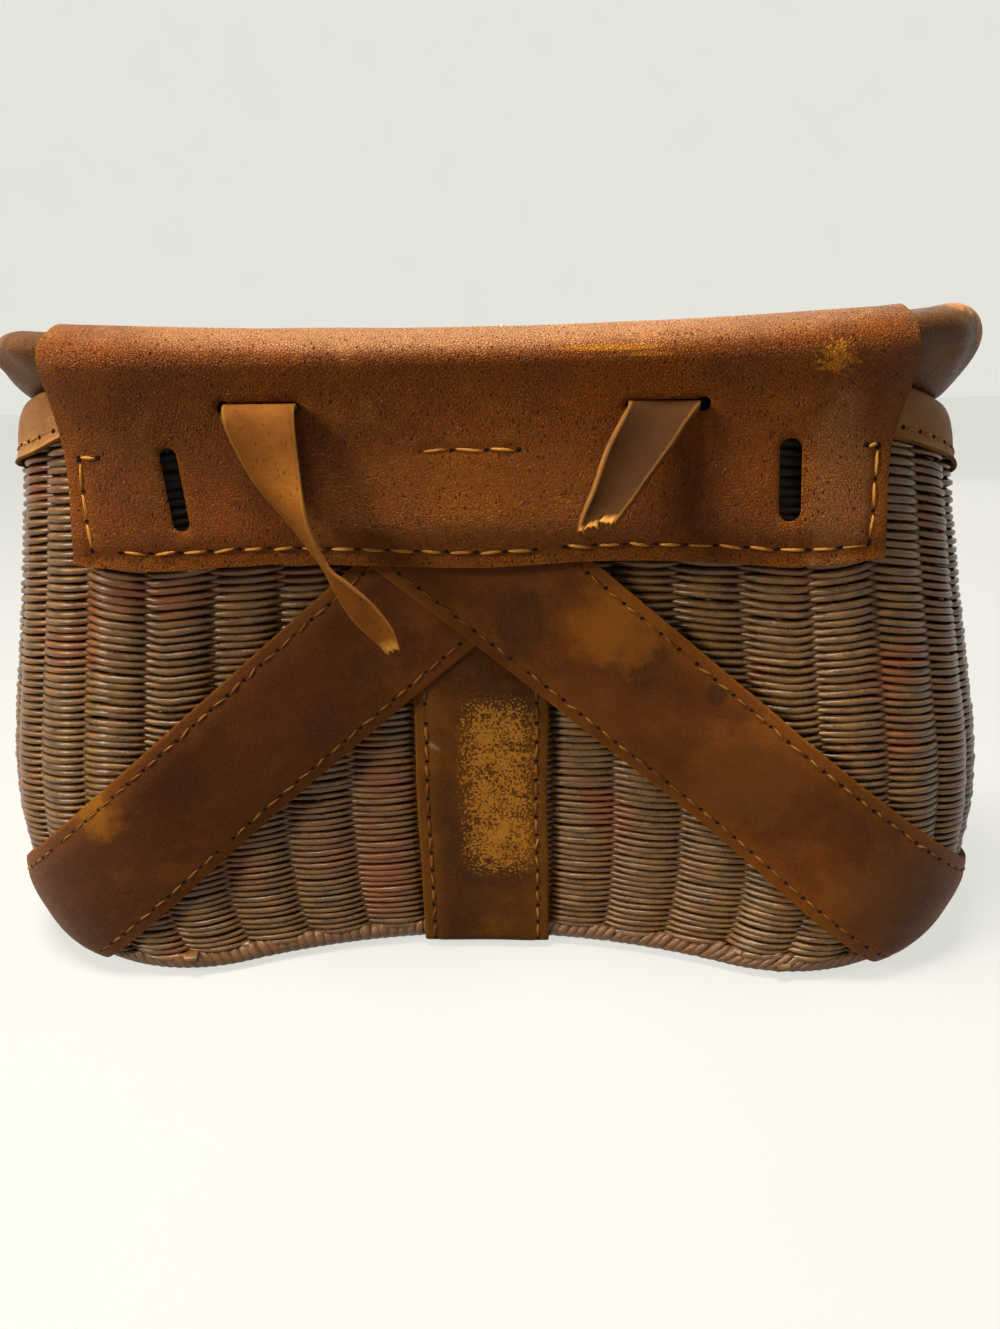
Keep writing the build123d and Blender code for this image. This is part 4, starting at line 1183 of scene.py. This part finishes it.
def strap_line(place, side, off):
    """The line on a slanted strap at a distance from its middle, down the back and round the corner."""
    u = np.linspace(0.0, 1.0, 500)
    v = np.linspace(UNDER_ROWS / (WALL_ROWS + UNDER_ROWS), 1, 160)
    grid_u, grid_v = np.meshgrid(u, v, indexing="ij")
    x, y, z = place(grid_u.ravel(), grid_v.ravel())
    far = off_line(side, x, z).reshape(grid_u.shape)
    found = np.array([np.interp(off, far[i], v) for i in range(len(u))])
    places, normals = on_sheet(place, u, found)
    fits = (places[:, 2] > 1.5) & (places[:, 2] < CROSS_TOP - 4) & (found < 0.99)
    run = side * places[:, 0] * COS - (places[:, 2] - CROSS_Z) * SIN
    fits &= (places[:, 1] < 78) | (run > STRAP_END + 3)
    return places[fits], normals[fits]


EDGE_SEAM = 4.4                       # stitches lie this far inside a strap's edge
many = np.linspace(0, 1, 300)
flap_rows = [flap_line(SEAM_LEFT + (SEAM_RIGHT - SEAM_LEFT) * many,
                       seam_height(SEAM_LEFT + (SEAM_RIGHT - SEAM_LEFT) * many))]
for seam_x, inwards in ((SEAM_LEFT, 7.0), (SEAM_RIGHT, -4.0)):
    flap_rows.append(flap_line(seam_x + 0 * many, 169.5 + (SEAM_TOP - 169.5) * many))
    flap_rows.append(flap_line(seam_x + inwards * many, SEAM_TOP + 0.8 + 0 * many))
flap_rows.append(flap_line(MIDDLE_SEAM[0] + (MIDDLE_SEAM[1] - MIDDLE_SEAM[0]) * many, MIDDLE_SEAM[2] + 0 * many))
sew("flap_stitches", flap_rows, thread_material, "basket", 10.2, share=0.86, radius=0.8)

strap_rows = [strap_line(place, side, edge * (STRAP_W / 2 - EDGE_SEAM))
              for place, side in ((left_strap, -1), (right_strap, 1)) for edge in (-1, 1)]
sew("cross_strap_stitches", strap_rows, dark_thread, "basket", 8.4, share=0.7)

share_in = EDGE_SEAM / STRAP_W
centre_length = CENTRE_TOP + 126 + CENTRE_FOOT
centre_rows = []
for across in (share_in, 1 - share_in):
    centre_rows.append(on_sheet(centre_place, across + 0 * many, (4 + (CENTRE_TOP - 8) * many) / centre_length))
    centre_rows.append(on_sheet(centre_place, across + 0 * many, 1 - (4 + (CENTRE_FOOT - 8) * many) / centre_length))
sew("centre_strap_stitches", centre_rows, dark_thread, "basket", 7.9, share=0.75, radius=0.75)

channel_rows = [on_sheet(channel_place, np.linspace(0.0, 1.0, 900), 0.095 + 0 * np.linspace(0.0, 1.0, 900))]
sew("rim_stitches", channel_rows, thread_material, "basket", 8.8)

# %% [markdown]
# ## Thongs
# Two thongs hang from the flap's slits. The left one turns edge-on half way down and ends in a torn
# point, the right one curls away from the flap. Each is a ribbon swept through a few stations, and each
# station says where the middle is, how wide the ribbon is and which way its width points.

# %% Ribbons
THONG = 1.8
THONG_Y = -7.4


def ribbon(name, stations, columns, rows, curl, face_material, nodes, fray):
    table = np.array([[*centre, width, *across] for centre, width, across in stations], float)
    t = np.linspace(0, 1, len(table))
    turns = table[:, 4:] / np.linalg.norm(table[:, 4:], axis=1)[:, None]

    def place(u, v):
        x, y, z, width = (through(v, t, table[:, k]) for k in range(4))
        dx, dy, dz = (through(v, t, turns[:, k]) for k in range(3))
        side = u - 0.5
        ragged = fray * (np.sin(u * 31) + np.sin(u * 17 + 2)) * step_up(v, 0.9, 1.0)
        bow = curl * width * (1 - 4 * side**2) * step_up(v, 0.05, 0.4)
        return x + dx * side * width, y + dy * side * width - bow * 0.12, z + dz * side * width + ragged

    bm = bent_grid(columns, rows, place, notes=lambda u, v: {"edge": np.minimum(u, 1 - u) * 20, "tip": v})
    face_outwards(bm)
    piece = made_piece(name, bm, [face_material, flesh_side, cut_edge], None, nodes)
    solid = piece.modifiers.new("thickness", "SOLIDIFY")
    solid.thickness, solid.offset, solid.use_even_offset = THONG * MM, 0, False
    solid.material_offset, solid.material_offset_rim = 1, 2
    return piece


left_thong = ribbon("thong_hanging_left", [
    ((-67.0, 1.0, 208.0), 23.0, (1, 0, 0)),
    ((-67.0, 0.6, 214.6), 23.0, (1, 0, 0)),
    ((-67.0, -3.6, 216.9), 23.0, (1, 0, 0)),
    ((-67.0, -8.8, 216.6), 23.5, (1, 0, 0)),
    ((-66.0, -11.6, 210.6), 22.5, (1, -0.06, 0.1)),
    ((-61.3, -14.0, 194.6), 17.0, (1, -0.3, 0.12)),
    ((-55.8, -17.0, 183.5), 12.5, (1, -0.9, 0.2)),
    ((-50.6, -18.5, 173.6), 9.5, (1, -1.9, 0.3)),
    ((-46.0, -18.5, 165.4), 8.0, (1, -2.6, 0.5)),
    ((-42.0, -18.0, 159.6), 8.5, (1, -1.2, 0.9)),
    ((-35.6, -17.5, 151.6), 9.5, (1, -0.35, 0.7)),
    ((-29.6, -17.0, 143.8), 8.0, (1, -0.2, 0.45)),
    ((-26.0, -17.0, 138.0), 4.5, (1, -0.1, 0.3)),
], 12, 110, 0.5, thong_leather, ["thong_left", "thong_root_left"], 0.5)
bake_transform(left_thong)
right_thong = ribbon("thong_hanging_right", [
    ((63.5, 1.0, 206.6), 23.0, (1, 0, 0)),
    ((63.5, 0.6, 213.2), 23.0, (1, 0, 0)),
    ((63.5, -3.6, 215.5), 23.0, (1, 0, 0)),
    ((62.8, -8.8, 215.4), 22.4, (1, 0, -0.03)),
    ((59.4, -13.2, 211.0), 21.0, (1, 0, -0.04)),
    ((54.2, -17.6, 202.8), 20.5, (1, 0.02, 0.04)),
    ((48.6, -21.5, 192.6), 18.0, (1, 0.02, 0.2)),
    ((43.8, -24.0, 184.4), 16.0, (1, 0.02, 0.28)),
    ((40.8, -26.0, 179.4), 12.0, (1, 0.02, 0.3)),
], 14, 80, -1.2, dark_thong, ["thong_right", "thong_root_right"], 0.7)
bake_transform(right_thong)

# %% [markdown]
# ## The front's closing strap, the billet and the fish hole
# The photograph shows the back only. A creel of this kind has a strap on the lid's front, a buckle, a
# billet with holes on the basket and a leather facing round the fish hole, so these are made plainly.

# %% Closing strap
CLOSER_W, CLOSER_Y, CLOSER_Z = 24.0, 164.2, 238.0
BAR_Z, BAR_R = 172.0, 1.7
CLOSER_PATH = np.array([(139.0, 244.8), (146, 244.8), (153, 244.2), (158.5, 242.4), (162.4, 240.0), (165.2, 237.6),
                        (165.4, 233), (165.4, 220), (165.4, 200), (165.4, 184), (166.1, 177), (168.4, 173.4),
                        (168.0, 170.0), (165.6, 168.1), (162.8, 168.1), (160.4, 170.0), (160.0, 173.4),
                        (162.3, 177), (162.7, 183), (162.7, 190)])
CLOSER_T = np.concatenate([[0], np.cumsum(np.hypot(*np.diff(CLOSER_PATH, axis=0).T))])


def closer_place(u, v):
    y, z = (through(v * CLOSER_T[-1], CLOSER_T, CLOSER_PATH[:, k]) for k in range(2))
    return (2 * u - 1) * CLOSER_W / 2, y, z


def closer_window(u, v):
    s = v * CLOSER_T[-1]
    return (np.abs(2 * u - 1) * CLOSER_W / 2 < 2.8) & (s > CLOSER_T[10] - 2) & (s < CLOSER_T[17] + 1)


bm = bent_grid(30, 200, closer_place, drop=closer_window, notes=lambda u, v: {
    "edge": CLOSER_W / 2 * (1 - np.abs(2 * u - 1))})
closer = sheet_piece("closing_strip", bm, strap_leather, None, ["strap_anchor", "closing_strap"], 2.0)
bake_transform(closer)

# %% Billet
BILLET_HALF, BILLET_FOOT, BILLET_TIP = 11.5, 100.0, 200.0


def billet_place(u, v):
    z = BILLET_FOOT + (BILLET_TIP - BILLET_FOOT) * v
    half = np.minimum(BILLET_HALF, BILLET_TIP - z + 0.6)
    x = (2 * u - 1) * half
    return x, front_line(body_at(z), x * 0, GAP + LEATHER + 0.25 * (1 - (2 * u - 1)**4)), z


def billet_holes(u, v):
    z = BILLET_FOOT + (BILLET_TIP - BILLET_FOOT) * v
    half = np.minimum(BILLET_HALF, BILLET_TIP - z + 0.6)
    x = (2 * u - 1) * half
    return sum((x**2 + (z - 136 - 11 * i)**2 < 1.7**2) for i in range(5)) > 0


bm = bent_grid(32, 140, billet_place, drop=billet_holes, notes=lambda u, v: {
    "edge": BILLET_HALF * (1 - np.abs(2 * u - 1))})
sheet_piece("billet_strip", bm, strap_leather, "basket", ["billet"], LEATHER)

# %% Keeper
KEEPER_Z, KEEPER_ROOM = (183.0, 193.0), 7.6


def keeper_place(u, v):
    turn = 2 * np.pi * u
    back = CLOSER_Y - 1.2
    half, depth = CLOSER_W / 2 + 1.3, KEEPER_ROOM / 2 + 0.9
    power = 0.28
    x = half * np.sign(np.cos(turn)) * np.abs(np.cos(turn))**power
    y = back + KEEPER_ROOM / 2 + depth * np.sign(np.sin(turn)) * np.abs(np.sin(turn))**power
    return x, y, KEEPER_Z[0] + (KEEPER_Z[1] - KEEPER_Z[0]) * v


bm = bent_grid(96, 8, keeper_place, notes=lambda u, v: {"edge": np.minimum(v, 1 - v) * 10})
sheet_piece("keeper_loop", bm, strap_leather, "closer", ["strap_keeper"], 1.8, edge_round=0,
            middle=(0, CLOSER_Y + KEEPER_ROOM / 2, sum(KEEPER_Z) / 2))

# %% Fish hole
TRIM_W = 12.0


def trim_place(u, v):
    turn = 2 * np.pi * u
    grow = TRIM_W * v
    c, s = np.cos(turn), np.sin(turn)
    power = 0.24 + 0.02 * v
    x = (FISH_HOLE[0] / 2 + grow) * np.sign(c) * np.abs(c)**power
    y = FISH_HOLE_Y + (FISH_HOLE[1] / 2 + grow) * np.sign(s) * np.abs(s)**power
    return x, y, 239.2 - 1.1 * np.clip(0.15 - v, 0, 1) * 10 + 0 * v


bm = bent_grid(160, 10, trim_place, notes=lambda u, v: {"edge": np.minimum(v, 1 - v) * TRIM_W})
sheet_piece("fish_hole_facing", bm, strap_leather, "lid", ["fish_hole_trim"], 2.0)

# %% Stitches of the front
closer_rows, billet_rows = [], []
for across in (0.1, 0.9):
    down_strap = (CLOSER_T[7] + (CLOSER_T[9] - CLOSER_T[7]) * many) / CLOSER_T[-1]
    closer_rows.append(on_sheet(closer_place, across + 0 * many, down_strap))
    billet_rows.append(on_sheet(billet_place, across + 0 * many, 0.04 + 0.8 * many))
sew("closing_strip_stitches", closer_rows, dark_thread, "closer", 6.0, share=0.7, radius=0.5)
sew("billet_stitches", billet_rows, dark_thread, "basket", 6.0, share=0.7, radius=0.5)
round_hole = np.linspace(0, 0.999, 700)
facing_rows = [on_sheet(trim_place, round_hole, inset + 0 * round_hole) for inset in (0.22, 0.8)]
sew("facing_stitches", facing_rows, dark_thread, "lid", 6.5, share=0.7, radius=0.5)

# %% [markdown]
# ## Metal
# The buckle, its prong and the rivets are rigid, and the frame's own pieces already have their shape. They
# only take their finish.

# %% Finish the rigid pieces
for node in ("buckle_frame", "buckle_prong", "anchor_rivets", "billet_rivets"):
    frame["nodes"][node].data.materials.clear()
    frame["nodes"][node].data.materials.append(brass)

# %% [markdown]
# ## Floor, light and camera
# The creel stands on a plain pale floor in soft studio light. The camera stands where the photograph was
# taken: a little above the rim, close to the hollow back, looking down by sixteen degrees.

# %% Camera
FRAME_W, FRAME_H = 1000, 1329        # the picture's size in pixels
FOCAL_PIXELS = 1000.0
CAMERA_AT = (24.4, -337.4, 228.3)
PITCH, ROLL, YAW = math.radians(16.6), math.radians(-1.18), math.radians(2.66)

camera = bpy.data.objects.new("camera", bpy.data.cameras.new("camera"))
bpy.context.scene.collection.objects.link(camera)
camera.data.lens = FOCAL_PIXELS / FRAME_H * camera.data.sensor_width
camera.location = spot(*CAMERA_AT)
look = Matrix.Rotation(YAW, 4, "Z") @ Matrix.Rotation(math.pi / 2 - PITCH, 4, "X") @ Matrix.Rotation(ROLL, 4, "Z")
camera.rotation_euler = look.to_euler()
bpy.context.scene.camera = camera
bpy.context.scene.view_settings.view_transform = "Standard"
print("lens", round(camera.data.lens, 2), "mm")

# %% Floor
def backdrop_material(name, colour, lit, glow):
    """Pale to the eye and in gloss. Only a small share of it is light from the lamps, which keeps the shadow."""
    material, tree, shader, place = new_material(name)
    path = add_node(tree, "ShaderNodeLightPath").outputs
    seen = maths(tree, "MAXIMUM", path["Is Camera Ray"], maths(tree, "MAXIMUM", path["Is Glossy Ray"],
                                                               path["Is Transmission Ray"]))
    pale = mixed(tree, speckle(tree, place, 4.0), tone(*colour), tone(*[c + 5 for c in colour]))
    shader.inputs["Base Color"].default_value = tone(*lit)
    tree.links.new(pale, shader.inputs["Emission Color"])
    tree.links.new(maths(tree, "MULTIPLY", seen, glow), shader.inputs["Emission Strength"])
    shader.inputs["Roughness"].default_value = 0.8
    shader.inputs["Specular IOR Level"].default_value = 0.1
    return material


bm = bmesh.new()
bmesh.ops.create_grid(bm, x_segments=1, y_segments=1, size=6.0)
bmesh.ops.translate(bm, vec=(0, 0, -0.0005), verts=bm.verts)
floor = made_piece("floor", bm, [backdrop_material("pale floor", (220, 220, 213), (112, 110, 106), 0.92)], None)
bm = bmesh.new()
bmesh.ops.create_grid(bm, x_segments=1, y_segments=1, size=6.0)
bmesh.ops.rotate(bm, matrix=Matrix.Rotation(math.pi / 2, 3, "X"), verts=bm.verts)
bmesh.ops.translate(bm, vec=(0, 5.9, 5.9), verts=bm.verts)
wall = made_piece("back_wall", bm, [backdrop_material("pale wall", (230, 230, 222), (90, 88, 84), 0.95)], None)

# %% Light
def lamp(name, where, aim, size, power, colour=(1, 1, 1)):
    data = bpy.data.lights.new(name, "AREA")
    data.shape, data.size, data.energy, data.color = "SQUARE", size, power, colour
    light = bpy.data.objects.new(name, data)
    light.location = where
    light.rotation_euler = (Vector(aim) - Vector(where)).to_track_quat("-Z", "Y").to_euler()
    bpy.context.scene.collection.objects.link(light)


lamp("key", (-1.1, -0.8, 0.8), (0, -0.05, 0.14), 0.3, 16, (1.0, 0.94, 0.84))
lamp("top", (-0.2, -0.28, 1.3), (0, -0.03, 0.2), 0.4, 28, (1.0, 0.95, 0.87))
lamp("back fill", (0.5, 1.5, 0.7), (0, 0, 0.12), 1.2, 5, (1.0, 0.97, 0.92))
lamp("fill", (0.7, -1.5, 0.5), (0, 0, 0.12), 1.0, 2.0, (1.0, 0.95, 0.88))
world = bpy.data.worlds.new("studio")
bpy.context.scene.world = world
world.use_nodes = True
shade = world.node_tree.nodes["Background"]
path = add_node(world.node_tree, "ShaderNodeLightPath").outputs
seen = maths(world.node_tree, "MAXIMUM", path["Is Camera Ray"], maths(
    world.node_tree, "MAXIMUM", path["Is Glossy Ray"], path["Is Transmission Ray"]))
shade.inputs["Color"].default_value = tone(230, 230, 222)
world.node_tree.links.new(ramp(world.node_tree, seen, 0, 1, 0.06, 0.95), shade.inputs["Strength"])
